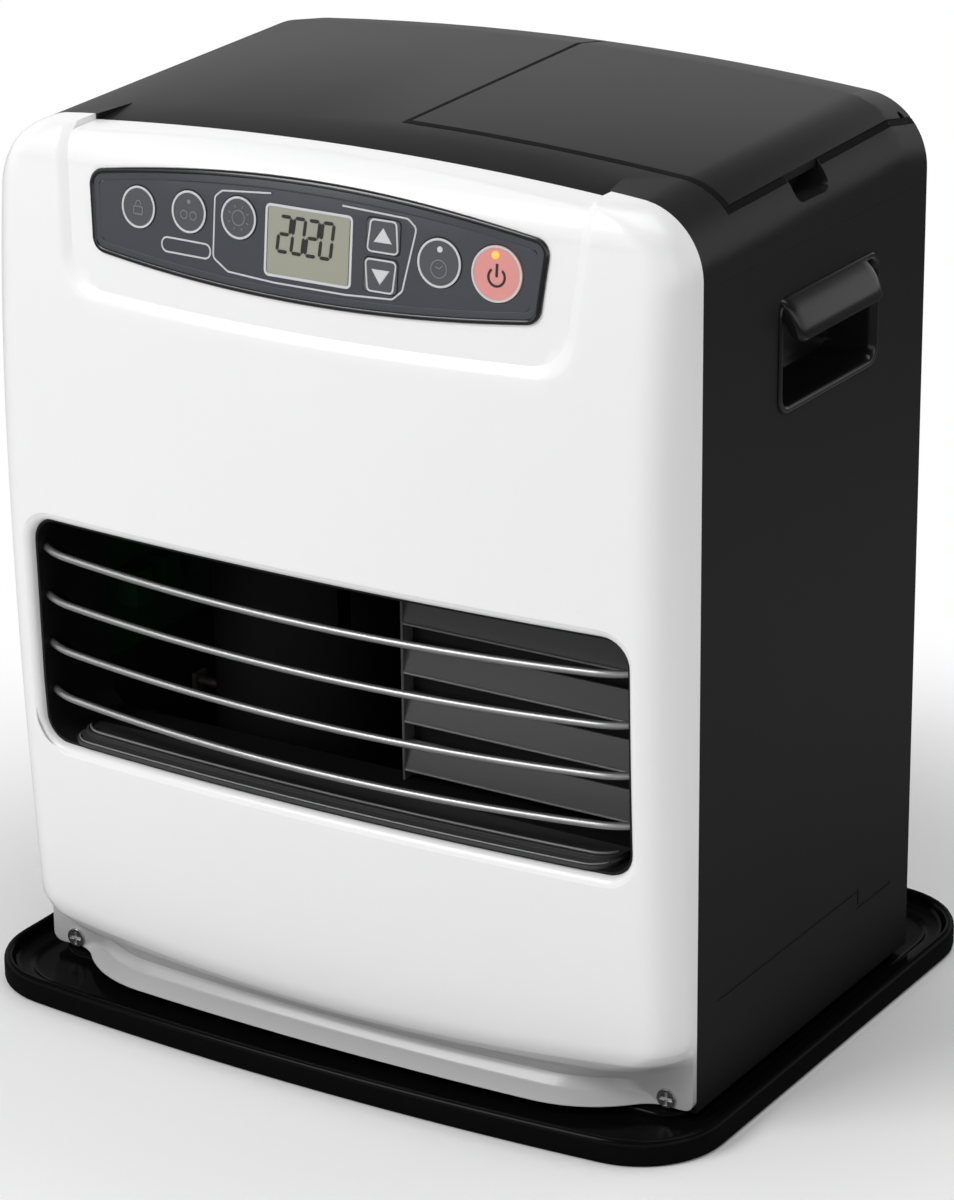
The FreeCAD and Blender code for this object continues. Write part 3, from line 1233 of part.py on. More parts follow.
def make_rear_panel():
    back = REAR_FACE - SHEET
    half = CABINET_HALF - 2 * SHEET
    panel = box(-half, half, back - REAR_SHEET, back, SIDE_FOOT, SIDE_TOP)
    panel = panel.cut(rod(FAN_OPENING_R, OVERRUN, V(FAN_X, back - OVERRUN / 2, FAN_Z), BACK))
    panel = panel.cut(rod(GLAND_R, OVERRUN, V(GLAND_X, back - OVERRUN / 2, GLAND_Z), BACK))
    for place in screw_places()[1]:
        panel = panel.cut(rod(SCREW_SHANK_R + PIN_GAP, OVERRUN, place - BACK * OVERRUN / 2, BACK))
    return panel


def make_guard():
    back = REAR_FACE - SHEET
    centre = V(FAN_X, back, FAN_Z)
    parts = [tube(GUARD_R, GUARD_R - GUARD_RING, GUARD_WIRE, centre, BACK)]
    hub = GUARD_R / (GUARD_RINGS + 1)
    parts.append(rod(hub, GUARD_WIRE, centre + BACK * (GUARD_DEPTH - 2 * GUARD_WIRE), BACK))
    span = GUARD_R - GUARD_RING - hub
    rise = GUARD_DEPTH - 2 * GUARD_WIRE
    for index in range(1, GUARD_RINGS):
        share = index / GUARD_RINGS
        radius = GUARD_R - GUARD_RING - span * share
        depth = rise * share
        parts.append(tube(radius, radius - GUARD_WIRE, GUARD_WIRE, centre + BACK * depth, BACK))
    for index in range(GUARD_SPOKES):
        half = GUARD_WIRE / 2
        outline = [V(-half, 0, GUARD_R - GUARD_RING / 2), V(-half, GUARD_WIRE, GUARD_R - GUARD_RING / 2),
                   V(-half, rise + GUARD_WIRE, hub / 2), V(-half, rise, hub / 2)]
        spoke = polygon_prism(outline, RIGHT * GUARD_WIRE)
        spoke.translate(centre)
        spoke.rotate(centre, BACK, 360 * index / GUARD_SPOKES)
        parts.append(spoke)
    return joined(parts)


def make_filter():
    front = REAR_FACE - SHEET + JOINT_GAP
    back = front + GUARD_DEPTH + 2 * JOINT_GAP + FILTER_BAR
    half = FILTER_HALF
    edge = FILTER_FRAME
    outer = rounded_box(FAN_X - half, FAN_X + half, front, back, FAN_Z - half, FAN_Z + half, edge, BACK)
    hollow = half - FILTER_BAR
    inner = rounded_box(FAN_X - hollow, FAN_X + hollow, front - OVERRUN, back - FILTER_BAR,
                        FAN_Z - hollow, FAN_Z + hollow, edge - FILTER_BAR, BACK)
    window = box(FAN_X - half + edge, FAN_X + half - edge, back - OVERRUN, back + OVERRUN,
                 FAN_Z - half + edge, FAN_Z + half - edge)
    frame = outer.cut(inner).cut(window)
    bars = [frame]
    span = 2 * (half - edge)
    for index in range(1, FILTER_BARS):
        offset = -span / 2 + span * index / FILTER_BARS
        wire = FILTER_BAR / 2
        reach = half - edge / 2
        x = FAN_X + offset
        z = FAN_Z + offset
        bars.append(box(x - wire, x + wire, back - FILTER_BAR, back, FAN_Z - reach, FAN_Z + reach))
        bars.append(box(FAN_X - reach, FAN_X + reach, back - FILTER_BAR, back, z - wire, z + wire))
    return joined(bars)


def make_main_board():
    wall = -CABINET_HALF + SHEET
    x = MAIN_BOARD_X
    parts = [box(x, x + BOARD_WALL, MAIN_BOARD_FRONT, MAIN_BOARD_REAR, MAIN_BOARD_FOOT, MAIN_BOARD_TOP)]
    for y in (MAIN_BOARD_FRONT + 2 * POST_R, MAIN_BOARD_REAR - 2 * POST_R):
        for z in (MAIN_BOARD_FOOT + 2 * POST_R, MAIN_BOARD_TOP - 2 * POST_R):
            parts.append(rod(POST_R, x - wall, V(wall, y, z), RIGHT))
    for index in range(COMPONENT_ROWS):
        y = MAIN_BOARD_FRONT + COMPONENT_WIDTH * (index + 1 / 2)
        high = COMPONENT_HEIGHT * (1 - index / (2 * COMPONENT_ROWS))
        for z in (MAIN_BOARD_FOOT + COMPONENT_WIDTH, MAIN_BOARD_TOP - 2 * COMPONENT_WIDTH):
            face = x + BOARD_WALL
            parts.append(box(face, face + high, y, y + COMPONENT_WIDTH / 2, z, z + COMPONENT_RISE))
    return joined(parts)


def make_tilt_switch():
    left = TILT_X
    front = FRONT_PLANE + 2 * SHEET
    top = DECK_TOP + TILT_SIZE
    body = box(left, left + TILT_SIZE, front, front + TILT_SIZE, DECK_TOP, top)
    return body.fuse(rod(TILT_SIZE / 3, TILT_SIZE / 4, V(left + TILT_SIZE / 2, front + TILT_SIZE / 2, top)))


def make_sensor():
    back = REAR_FACE - SHEET
    base = V(GLAND_X, back, SENSOR_Z)
    reach = 2 * SENSOR_R
    clip = box(base.x - reach, base.x + reach, back, back + SENSOR_R / 2, base.z - reach, base.z + reach)
    return clip.fuse(rod(SENSOR_R, SENSOR_LENGTH, base, BACK))


def make_gland():
    back = REAR_FACE - SHEET
    base = V(GLAND_X, back - GLAND_LENGTH, GLAND_Z)
    flange = rod(GLAND_FLANGE_R, GLAND_LENGTH / 2, base + BACK * GLAND_LENGTH, BACK)
    body = rod(GLAND_R, 2 * GLAND_LENGTH, base, BACK).fuse(flange)
    return body.cut(rod(GLAND_BORE_R, OVERRUN * 2, base - BACK * OVERRUN, BACK))


def build():
    parts = {
        "base_tray": make_tray(),
        "front_panel": make_front_panel(),
        "cabinet_screws": make_screws(),
        "side_panel_left": make_side(-1),
        "side_panel_right": make_side(1),
        "handle_left": make_handle(-1),
        "handle_right": make_handle(1),
        "top_cover": make_cover(),
        "tank_lid": make_lid(),
        "lid_hinge_pins": make_hinge_pins(),
        "control_bezel": make_bezel(),
        "control_face": make_control_face(),
        "lcd_window": make_lcd_window(),
        "lcd_module": make_lcd_module(),
        "control_board": make_control_board(),
        "outlet_duct": make_duct(),
        "outlet_sill": make_sill(),
        "outlet_baffle": make_baffle(),
        "tank_partition": make_partition(),
        "cartridge_tank": make_cartridge(),
        "tank_cap": make_cap(),
        "tank_bail": make_bail(),
        "tank_gauge": make_gauge(),
        "fixed_tank": make_sump(),
        "fuel_strainer": make_strainer(),
        "fuel_pump": make_pump(),
        "fuel_pipe": make_pipe(),
        "burner_deck": make_burner_deck(),
        "burner_pot": make_pot(),
        "burner_head": make_head(),
        "combustion_chamber": make_chamber(),
        "heat_shield": make_shield(),
        "vaporizer": make_vaporizer(),
        "igniter": make_probe(-PROBE_SPREAD, ROD_R),
        "flame_rod": make_probe(PROBE_SPREAD, ROD_LENGTH / 2),
        "blower_housing": make_blower_housing(),
        "blower_impeller": make_impeller(),
        "blower_motor": make_blower_motor(),
        "fan_blades": make_fan(),
        "fan_motor": make_fan_motor(),
        "fan_bracket": make_fan_bracket(),
        "rear_panel": make_rear_panel(),
        "fan_guard": make_guard(),
        "rear_filter": make_filter(),
        "main_board": make_main_board(),
        "tilt_switch": make_tilt_switch(),
        "room_sensor": make_sensor(),
        "cord_gland": make_gland(),
    }
    for name in BUTTON_NAMES:
        parts[name] = make_button(name)
    for index in range(LOUVER_COUNT):
        parts["louver_%d" % (index + 1)] = make_louver(index)
    return parts


os.makedirs("parts", exist_ok=True)
for name, shape in build().items():
    shape.exportStep(os.path.join("parts", name + ".step"))
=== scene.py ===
import math
import bmesh
import bpy
from mathutils import Matrix, Vector


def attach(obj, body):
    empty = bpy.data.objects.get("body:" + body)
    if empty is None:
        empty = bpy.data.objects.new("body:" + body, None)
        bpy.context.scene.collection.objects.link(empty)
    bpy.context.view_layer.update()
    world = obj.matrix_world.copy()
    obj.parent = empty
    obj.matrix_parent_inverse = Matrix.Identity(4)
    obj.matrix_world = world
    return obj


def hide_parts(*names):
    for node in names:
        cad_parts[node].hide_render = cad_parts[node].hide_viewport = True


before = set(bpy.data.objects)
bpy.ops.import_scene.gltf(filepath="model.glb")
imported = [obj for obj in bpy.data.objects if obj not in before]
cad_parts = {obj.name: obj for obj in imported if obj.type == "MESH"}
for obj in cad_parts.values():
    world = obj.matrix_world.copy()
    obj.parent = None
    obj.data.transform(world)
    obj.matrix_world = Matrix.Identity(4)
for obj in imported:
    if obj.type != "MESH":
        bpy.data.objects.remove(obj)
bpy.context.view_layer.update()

MM = 0.001

# Every size is in millimetres, from the middle of the cabinet's foot print at floor level.

# Cabinet and front pressing
CABINET_HALF = 169
FRONT_PLANE = -96
REAR_FACE = 101
FRONT_REACH = 133.2
BOW_RADIUS = 1650
BARREL_HEIGHT = 262
BARREL_LOWER_RADIUS = 2600
BARREL_UPPER_RADIUS = 1050
RIM_RADIUS = 22
SIDE_CORNER = 17
CROWN_TOP = 410.6
CROWN_RADIUS = 1560
CROWN_CORNER = 31
SHOULDER_X = CABINET_HALF - CROWN_CORNER
SHOULDER_RISE = math.sqrt((CROWN_RADIUS - CROWN_CORNER) ** 2 - SHOULDER_X ** 2)
SHOULDER_START = 362
FRONT_WALL = 1.6
BOW_STEPS, CORNER_STEPS, SIDE_STEPS, TAB_STEPS, ARC_STEPS, OUTLINE_STEPS = 40, 12, 10, 8, 8, 24
FOOT_LEVELS, BARREL_LEVELS, SHOULDER_LEVELS, RIM_LEVELS = 30, 44, 18, 30
RIM_END = 88.5

# Foot of the front: it turns under, then runs down to two tabs that carry the screws
FRONT_FOOT = 41
PLINTH_FOOT = 9.5
PLINTH_COVE = 10
PLINTH_INSET = 9
PLINTH_CORNER_GAIN = 43
COVE_SHARES = (0, 0.05, 0.25, 0.75, 1, 0.6, -0.3)
FALL_SHARES = (0, 0.16, 0.32, 0.5, 0.72, 0.88, 1)
NARROW_SHARES = (0, 0.12, 0.4, 0.8, 1, 1, 1)
FOOT_SAG = 10
SAG_START = 14
SAG_FADE = 45
# Painted shade on the foot: below the turned-in edge the white enamel is mixed to this grey, fully under the low
# height and not at all above the high one.
FOOT_PAINTED_SHADE = (0.5, 0.5, 0.5, 1)
FOOT_PAINTED_SHADE_LOW = 20
FOOT_PAINTED_SHADE_HIGH = 36
TAB_THICK = 3
TAB_SWING = 6
TAB_CORNER = 4.5

# Cutters, which reach through the front from CUT_FRONT to CUT_BACK
CUT_FRONT = -170
CUT_BACK = -80
CORE_BACK = -70

# Recess for the controls: its slope is (growth of the outline, depth below the front)
RECESS_DEPTH = 2.5
RECESS_HALF_TOP = 131
RECESS_HALF_FOOT = 121
RECESS_FOOT_MID = 335.5
RECESS_FOOT_END = 338.5
RECESS_OPEN_TOP = 40
RECESS_CORNER = 17
RECESS_SLOPE = ((6.2, -1), (5.4, -0.05), (4.6, 0.12), (3.4, 0.6), (2.2, 1.4), (1.2, 2.0), (0.4, 2.4), (0, 2.7))
LONG_SIDE = 40
LONG_SIDE_PARTS = 32

# Control panel; the profiles of its rim and face border are (inset, depth)
PANEL_HALF_TOP = 113.5
PANEL_HALF_FOOT = 110
PANEL_FOOT_MID = 347.8
PANEL_FOOT_END = 354.8
PANEL_TOP_MID = 398.9
PANEL_TOP_END = 388.5
PANEL_CORNER = 7
PANEL_SEAT = 4.5
RIM_PROFILE = ((0, 2.5), (0, 1.75), (0.2, 1.4), (0.7, 1.22), (1.6, 1.22), (2.0, 1.4), (2.3, 1.9), (2.3, 2.5))
BORDER_PROFILE = ((2.2, 2.45), (2.2, 1.77), (4.6, 1.77), (5.2, 1.81), (5.2, 2.45))
FACE_DEPTH = 1.8
BUTTON_PROUD = 0.3
PRINT_LIFT = 0.02
PRINT_THICK = 0.12
KEY_LIFT = BUTTON_PROUD + PRINT_LIFT

# Round keys as (x, z, radius), and the two arrow keys as (x, z, way up)
ROUND_KEYS = {"button_lock": (-85.9, 376.4, 9.0), "button_extend": (-59.3, 378.2, 9.0),
              "button_mode": (-33.7, 379.3, 9.0), "button_timer": (63.8, 374.0, 10.2),
              "button_power": (90.2, 373.0, 11.6)}
ARROW_KEYS = {"button_up": (37.2, 381.2, 1), "button_down": (36.6, 365.0, -1)}
ARROW_NEAR, ARROW_FAR, ARROW_TALL, ARROW_CORNER = 7.7, 6.4, 6.9, 2.2
SIGN_PLACES = {"button_lock": (-85.9, 376.4), "button_extend": (-59.3, 377.2), "button_mode": (-33.7, 379.3),
               "button_timer": (63.8, 371.6), "button_power": (90.2, 371.8)}
SIGN_STROKE = 0.6
FRAME_STROKE = 0.8
GROUP_CORNER = 3
GROUP_FRAME = ((17.2, 391.2), (48.4, 389.9), (52.6, 386.5), (47.0, 360.2), (42.5, 356.2), (20, 355.0), (-15, 355.0),
               (-38.5, 356.2), (-46.2, 361.0), (-46.2, 386.6), (-42.5, 389.4), (-17.9, 391.6))

# Numerals on the display
DIGIT_LEFT = -14.2
DIGIT_PITCH = 6.95
DIGIT_FOOT = 368.4
DIGIT_WIDTH = 5.4
DIGIT_HEIGHT = 14.6
DIGIT_STROKE = 1.45
DIGIT_LEAN = 0.1
DIGIT_GAP = 0.25
DIGIT_LIFT = 0.05
DIGIT_THICK = 0.06
DIGITS = "2020"
SEGMENTS = {"2": "abged", "0": "abcdef"}
SEGMENT_ENDS = {"a": ((0, 2), (1, 2)), "b": ((1, 2), (1, 1)), "c": ((1, 1), (1, 0)), "d": ((0, 0), (1, 0)),
                "e": ((0, 0), (0, 1)), "f": ((0, 1), (0, 2)), "g": ((0, 1), (1, 1))}

# Outlet: its bevel is (growth of the outline, depth below the front)
OUTLET_HALF = 151
OUTLET_FOOT = 121
OUTLET_TOP = 228
OUTLET_CORNER = 12
OUTLET_PARTS = 36
OUTLET_BEVEL = ((5.6, -3), (4.9, -0.7), (4.2, 0.02), (3.2, 0.35), (2.1, 0.9), (1.1, 1.8), (0.4, 3.0), (0, 5.5))
COLLAR_GROW = 6
COLLAR_DEPTH = 7

# Louvers, and the edges behind them; a bead of the sill is (name, set back, height, radius)
LOUVER_COUNT = 4
LOUVER_TOP = 208.5
LOUVER_PITCH = 22.7
LOUVER_HALF = 149.8
LOUVER_BOW = 1000
LOUVER_RISE = 3
LOUVER_BEND_START = 134
LOUVER_BEND_SHARE = 0.016
LOUVER_DEPTH = 11
LOUVER_FALL = 4
LOUVER_SHEET = 1.2
LOUVER_EDGE_RADIUS = 1.7
LOUVER_STEPS = 60
SLAT_TOP = 195.3
SLAT_LEFT = 14.4
SLAT_RIGHT = 149
SLAT_FRONT = -80.2
SLAT_EDGE_RADIUS = 0.6
SILL_HALF = 138
SILL_CORNER = 12
SILL_LINE = 124
SILL_BEADS = (("sill_bead", 12.5, 126.0, 0.6), ("sill_front_bead", 4.2, 124.2, 0.4))

# Drip tray: its profile and its channel are (inset, height), the deck's are (growth, height)
TRAY_HALF = 185.5
TRAY_DEEP = 149.5
TRAY_CORNER = 41
TRAY_BOW = 10.6
TRAY_SHEET = 1.4
TRAY_PROFILE = ((2.2, 0), (0.9, 0.3), (0.2, 1.1), (0, 2.4), (0, 8.6), (0.2, 10.2), (0.8, 11.4), (1.8, 12.0),
                (2.9, 12.0), (3.8, 11.4), (4.3, 10.4), (4.7, 8.8), (5.4, 7.4), (6.6, 6.6), (8.2, 6.3), (11.4, 6.2),
                (12.6, 5.9), (13.5, 5.2), (14.6, 4.7), (16, 4.6))
TRAY_CHANNEL = ((6.4, -1), (6.4, 2.4), (7.2, 3.2))
DECK_HALF = 165
DECK_FRONT = -104
DECK_REAR = 100
DECK_CORNER = 14
DECK_TOP = 8
DECK_PROFILE = ((0, 4.5), (0, 6.6), (-0.4, 7.5), (-1.3, DECK_TOP))
DECK_HOLLOW = ((-TRAY_SHEET, -1), (-TRAY_SHEET, 5.6), (-TRAY_SHEET - 1, DECK_TOP - TRAY_SHEET))

# Carrying handles: rings of the pocket are (growth, x), the hood's section is (x, z), its stations are (y, share)
POCKET_FRONT = -33
POCKET_REAR = 56
POCKET_FOOT = 300
POCKET_TOP = 350.5
POCKET_CORNER = 8
POCKET_RINGS = ((-1.5, 145.6), (-1.5, 168.6), (0, 168.6), (0, 169.6), (-0.5, 170.2), (-1.4, 170.4), (-2.3, 170.1),
                (-3.0, 169.2), (-3.6, 166), (-4.4, 152), (-6, 147.4), (-9, 146.8))
HOOD_SECTION = ((164, 350.8), (169, 350.4), (171.6, 349.0), (174.3, 346.2), (176.5, 342.6), (178, 338.8),
                (178.8, 335.4), (178.8, 333.8), (177.9, 332.7), (176.5, 332.8), (175.2, 334.2), (173.4, 337.4),
                (170.6, 340.6), (167, 342.8), (164, 343.4))
HOOD_STATIONS = ((-31.5, 0.74), (-31.2, 0.82), (-30.4, 0.9), (-29.2, 0.96), (-27.5, 0.99), (-25, 1), (0, 1), (36, 1),
                 (39, 0.99), (40.8, 0.95), (41.8, 0.88), (42.2, 0.78))
HOOD_ROOT = 166
HOOD_MIDDLE = 345
HOOD_TOP = 350.8
HOOD_DROP = 18
HOOD_LEAN = 2.5

# Cover, and the painted shadow of the seam round the lid
RIDGE_RISE = 5.4
RIDGE_Y = 78
REAR_RISE = 1.7
LID_LEFT = 9.8
LID_FRONT = -60.2
LID_EDGE = 160.6
NOTCH_HALF = 14.5
# Widths of the painted seam shadow along the lid's sides and along its front.
SIDE_SEAM = 2
FRONT_SEAM = 4.4
SEAM_LIFT = 0.05
SEAM_PARTS = 75

# Camera and studio, in metres and degrees. The floor fades to white and its reflection dims with distance; the
# sky's reflection dims with height. A lamp is (place, target, watts, size).
CAMERA_PLACE = (0.947703, -1.501667, 0.848053)
CAMERA_YAW = 32.215
CAMERA_PITCH = 20.70
CAMERA_ROLL = -0.636
CAMERA_SENSOR = 36
CAMERA_LENS = 127.29
FLOOR_HALF = 6
FLOOR_FADE = (0.24, 0.5)
FLOOR_DIM, FLOOR_GLOW = (0.75, 1.25), (0.42, 0.12)
SKY_DIM, SKY_GLOW = (0.3, 0.55), (0.95, 0.12)
WHITE = (1, 1, 1, 1)
LAMPS = {"key_light": ((-1.2, -2.1, 2.2), (0, 0, 0.2), 46, 1.4),
         "top_light": ((0.3, 0.6, 2.6), (0, 0, 0.3), 16, 1.6),
         "right_light": ((2.4, -0.6, 1.1), (0, 0, 0.2), 3, 1.2)}


def half_width(z, inset):
    """Half the width of the cabinet's outline at a height: straight sides, round shoulders, low crown."""
    corner = CROWN_CORNER - inset
    crown = CROWN_RADIUS - inset
    crown_z = CROWN_TOP - CROWN_RADIUS
    shoulder_z = crown_z + SHOULDER_RISE
    if z <= shoulder_z:
        return CABINET_HALF - inset
    if z <= crown_z + SHOULDER_RISE * crown / (crown - corner):
        return SHOULDER_X + math.sqrt(corner ** 2 - (z - shoulder_z) ** 2)
    return math.sqrt(max(crown ** 2 - (z - crown_z) ** 2, 1))


def barrel_reach(z):
    """How far forward the middle of the front stands at a height."""
    radius = BARREL_UPPER_RADIUS if z > BARREL_HEIGHT else BARREL_LOWER_RADIUS
    return FRONT_REACH - (z - BARREL_HEIGHT) ** 2 / (2 * radius)


def front_reach(z, inset):
    """The same, with the rolled upper rim, for a surface that lies an inset inside the front."""
    centre = CROWN_TOP - RIM_RADIUS
    if z <= centre:
        return barrel_reach(z) - inset
    return barrel_reach(centre) - RIM_RADIUS + math.sqrt(max((RIM_RADIUS - inset) ** 2 - (z - centre) ** 2, 0))


def front_y(x, z, inset=0.0):
    """Depth of the front surface at a place on it."""
    return x * x / (2 * BOW_RADIUS) - front_reach(z, inset)


def mix_shares(table, share):
    """Smooth value between the steps of a table, for a share from 0 to 1 along it."""
    place = share * (len(table) - 1)
    index = min(int(place), len(table) - 2)
    part = place - index
    part = part * part * (3 - 2 * part)
    return table[index] * (1 - part) + table[index + 1] * part


def bend(t, a, b, c):
    """Point of the curve that leaves a toward b and ends at c, for t from 0 to 1."""
    return (1 - t) ** 2 * a + 2 * t * (1 - t) * b + t * t * c


def bowed_half(half, reach, bow, corner, steps, stop=None):
    """Right half of a bowed line with its corner, which ends early at the stop, and its last angle."""
    cx = half - corner
    turn = math.asin(cx / (bow - corner))
    cy = -reach + bow - (bow - corner) * math.cos(turn)
    end = math.pi / 2 if stop is None or cy <= stop else math.acos(min(1, (cy - stop) / corner))
    points = []
    for step in range(steps + 1):
        x = bow * math.sin(turn * step / steps)
        points.append((x, -reach + bow - math.sqrt(bow * bow - x * x)))
    for step in range(1, CORNER_STEPS + 1):
        angle = turn + (end - turn) * step / CORNER_STEPS
        points.append((cx + corner * math.sin(angle), cy - corner * math.cos(angle)))
    return points, end


def plan_points(half, reach, bow, corner, back, z, tab=None):
    """Points of one level slice, from the back left round the front to the back right.

    A slice with a tab stops its corner short of the tab's plane and swings out to the tab's edge."""
    plane = back if tab is None else back - TAB_THICK
    stop = plane if tab is None else plane - TAB_SWING
    right, end = bowed_half(half, reach, bow, min(corner, 0.7 * half), BOW_STEPS, stop)
    x0, y0 = right[-1]
    if tab is None:
        right += [(x0, y0 + (back - y0) * step / SIDE_STEPS) for step in range(1, SIDE_STEPS + 1)]
    else:
        slope = math.tan(end) if end < 1.5 else 1e6
        xm = min(tab, x0 + (plane - y0) / slope)
        x1 = min(tab, xm + TAB_SWING)
        for step in range(1, TAB_STEPS + 1):
            t = step / TAB_STEPS
            right.append((bend(t, x0, xm, x1), bend(t, y0, plane, plane)))
        right += [(tab, plane), (tab, back)]
    left = [(-x, y) for x, y in right[:0:-1]]
    return [(x, y, z) for x, y in left + right]


def front_levels(inset, below):
    """Rows of (half width, reach, bow, corner) with their heights, from the foot to the crown."""
    rows = []
    for step in range(FOOT_LEVELS, 0, -1):
        share = step / FOOT_LEVELS
        z = FRONT_FOOT - mix_shares(FALL_SHARES, share) * (FRONT_FOOT - PLINTH_FOOT)
        reach = barrel_reach(FRONT_FOOT) - mix_shares(COVE_SHARES, share) * PLINTH_COVE - inset
        part = mix_shares(NARROW_SHARES, share)
        row = (CABINET_HALF - part * PLINTH_INSET - inset, reach, BOW_RADIUS - inset,
               SIDE_CORNER + part * PLINTH_CORNER_GAIN - inset)
        if step == FOOT_LEVELS and below:
            rows.append((row, z - below))
        rows.append((row, z))
    centre = CROWN_TOP - RIM_RADIUS
    heights = [FRONT_FOOT + (SHOULDER_START - FRONT_FOOT) * step / BARREL_LEVELS for step in range(BARREL_LEVELS)]
    heights += [SHOULDER_START + (centre - SHOULDER_START) * step / SHOULDER_LEVELS for step in range(SHOULDER_LEVELS)]
    heights += [centre + (RIM_RADIUS - inset) * math.sin(math.radians(RIM_END) * step / RIM_LEVELS)
                for step in range(RIM_LEVELS + 1)]
    for z in heights:
        rows.append(((half_width(z, inset), front_reach(z, inset), BOW_RADIUS - inset, SIDE_CORNER - inset), z))
    return rows


def tab_edge(z):
    """Outer edge of a foot tab, with its round lower corner."""
    rise = max(0, TAB_CORNER - (z - PLINTH_FOOT))
    return CABINET_HALF - TAB_CORNER + math.sqrt(TAB_CORNER ** 2 - rise ** 2)


def foot_sag(x, z):
    """The turned-under edge hangs lower in the middle than at the corners."""
    if z < FRONT_FOOT:
        high = max(0, min(1, (z - SAG_START) / (FRONT_FOOT - SAG_START)))
    else:
        high = max(0, 1 - (z - FRONT_FOOT) / SAG_FADE)
    high = high * high * (3 - 2 * high)
    return FOOT_SAG * high * (1 - min(1, (x / CABINET_HALF) ** 2))


def front_body(name, inset, back=FRONT_PLANE, below=0.0, tabs=False):
    """Closed body under the front's surface, lofted from its level slices."""
    rows = []
    for row, z in front_levels(inset, below):
        points = plan_points(*row, back, z, tab_edge(z) if tabs and z < FRONT_FOOT else None)
        rows.append([(x, y, z - foot_sag(x, z)) for x, y, z in points])
    bm = bmesh.new()
    table = [[bm.verts.new(Vector(point) * MM) for point in row] for row in rows]
    for low_row, high_row in zip(table, table[1:]):
        for i in range(len(low_row) - 1):
            bm.faces.new((low_row[i], low_row[i + 1], high_row[i + 1], high_row[i]))
    bm.faces.new(table[0])
    bm.faces.new(table[-1])
    bm.faces.new([row[0] for row in table] + [row[-1] for row in table[::-1]])
    bmesh.ops.remove_doubles(bm, verts=bm.verts, dist=0.005 * MM)
    bmesh.ops.recalc_face_normals(bm, faces=bm.faces)
    return new_object(name, bm)


def place_object(name, data):
    obj = bpy.data.objects.new(name, data)
    bpy.context.scene.collection.objects.link(obj)
    return obj


def new_object(name, bm):
    mesh = bpy.data.meshes.new(name)
    bm.to_mesh(mesh)
    bm.free()
    return place_object(name, mesh)


def final_mesh(obj):
    """The object's mesh with its modifiers applied."""
    bpy.context.view_layer.update()
    return bpy.data.meshes.new_from_object(obj.evaluated_get(bpy.context.evaluated_depsgraph_get()))


def combine(base, other, operation):
    """Joins or cuts one piece with another, applies the result and removes the other."""
    change = base.modifiers.new("cut", "BOOLEAN")
    change.object = other
    change.operation = operation
    change.solver = "EXACT"
    mesh = final_mesh(base)
    base.modifiers.clear()
    base.data = mesh
    bpy.data.objects.remove(other)
    return base


def dress(obj, paint, angle=None, body="cabinet"):
    """Gives a piece its material and its body; edges shallower than the angle are shaded smooth."""
    obj.data.materials.clear()
    obj.data.materials.append(paint)
    if angle:
        obj.data.shade_smooth()
        obj.data.set_sharp_from_angle(angle=math.radians(angle))
    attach(obj, body)
    return obj


def bowed_outline(half_top, half_foot, foot_mid, foot_end, top_mid, top_end, corner):
    """Outline with a bowed foot and top, as (x, z) points anticlockwise from the lower left."""
    shares = [2 * i / OUTLINE_STEPS - 1 for i in range(OUTLINE_STEPS + 1)]
    foot = [(half_foot * s, foot_mid + (foot_end - foot_mid) * s ** 2) for s in shares]
    top = [(-half_top * s, top_mid + (top_end - top_mid) * s ** 2) for s in shares]
    return round_corners([foot, top], corner)


def round_corners(chains, corner):
    """Joins chains of points end to start, and rounds each meeting to a radius."""
    result = []
    for index, chain in enumerate(chains):
        before = chains[index - 1][-1]
        after = chains[(index + 1) % len(chains)][0]
        result += arc_at(before, chain[0], chain[1], corner)
        result += [p for p in chain[1:-1] if min(math.dist(p, chain[0]), math.dist(p, chain[-1])) > corner * 1.05]
        result += arc_at(chain[-2], chain[-1], after, corner)
    return result


def arc_at(before, spot, after, radius):
    """Points of the arc that rounds the corner at a spot."""
    a, b, c = Vector(before), Vector(spot), Vector(after)
    into, out = (a - b).normalized(), (c - b).normalized()
    half = into.angle(out) / 2
    length = radius / math.tan(half)
    centre = b + (into + out).normalized() * (radius / math.sin(half))
    start, end = b + into * length - centre, b + out * length - centre
    swing = start.angle_signed(end)
    points = []
    for step in range(ARC_STEPS + 1):
        turned = start.copy()
        turned.rotate(Matrix.Rotation(-swing * step / ARC_STEPS, 2))
        points.append(tuple(centre + turned))
    return points


def box_outline(left, right, foot, top, corner, steps=1):
    """Upright box with round corners, its sides divided into steps."""
    across = [left + (right - left) * i / steps for i in range(steps + 1)]
    upward = [foot + (top - foot) * i / steps for i in range(steps + 1)]
    sides = [[(x, foot) for x in across], [(right, z) for z in upward],
             [(x, top) for x in across[::-1]], [(left, z) for z in upward[::-1]]]
    if steps == 1:
        return round_corners([sides[0], sides[2]], corner)
    chain = []
    for index, side in enumerate(sides):
        after = sides[(index + 1) % 4]
        chain += [p for p in side[1:-1] if min(math.dist(p, side[0]), math.dist(p, side[-1])) > corner * 1.02]
        chain += arc_at(side[-2], side[-1], after[1], corner)
    return chain


def recess_outline(grow):
    top = CROWN_TOP + RECESS_OPEN_TOP
    outline = bowed_outline(RECESS_HALF_TOP + grow, RECESS_HALF_FOOT + grow, RECESS_FOOT_MID - grow,
                            RECESS_FOOT_END - grow, top, top, RECESS_CORNER)
    points = []
    for index, (x, z) in enumerate(outline):
        after = outline[(index + 1) % len(outline)]
        parts = LONG_SIDE_PARTS if math.dist((x, z), after) > LONG_SIDE else 1
        points += [(x + (after[0] - x) * i / parts, z + (after[1] - z) * i / parts) for i in range(parts)]
    return points


def panel_outline(inset):
    return bowed_outline(PANEL_HALF_TOP - inset, PANEL_HALF_FOOT - inset, PANEL_FOOT_MID + inset,
                         PANEL_FOOT_END + inset, PANEL_TOP_MID - inset, PANEL_TOP_END - inset,
                         PANEL_CORNER - inset / 2)


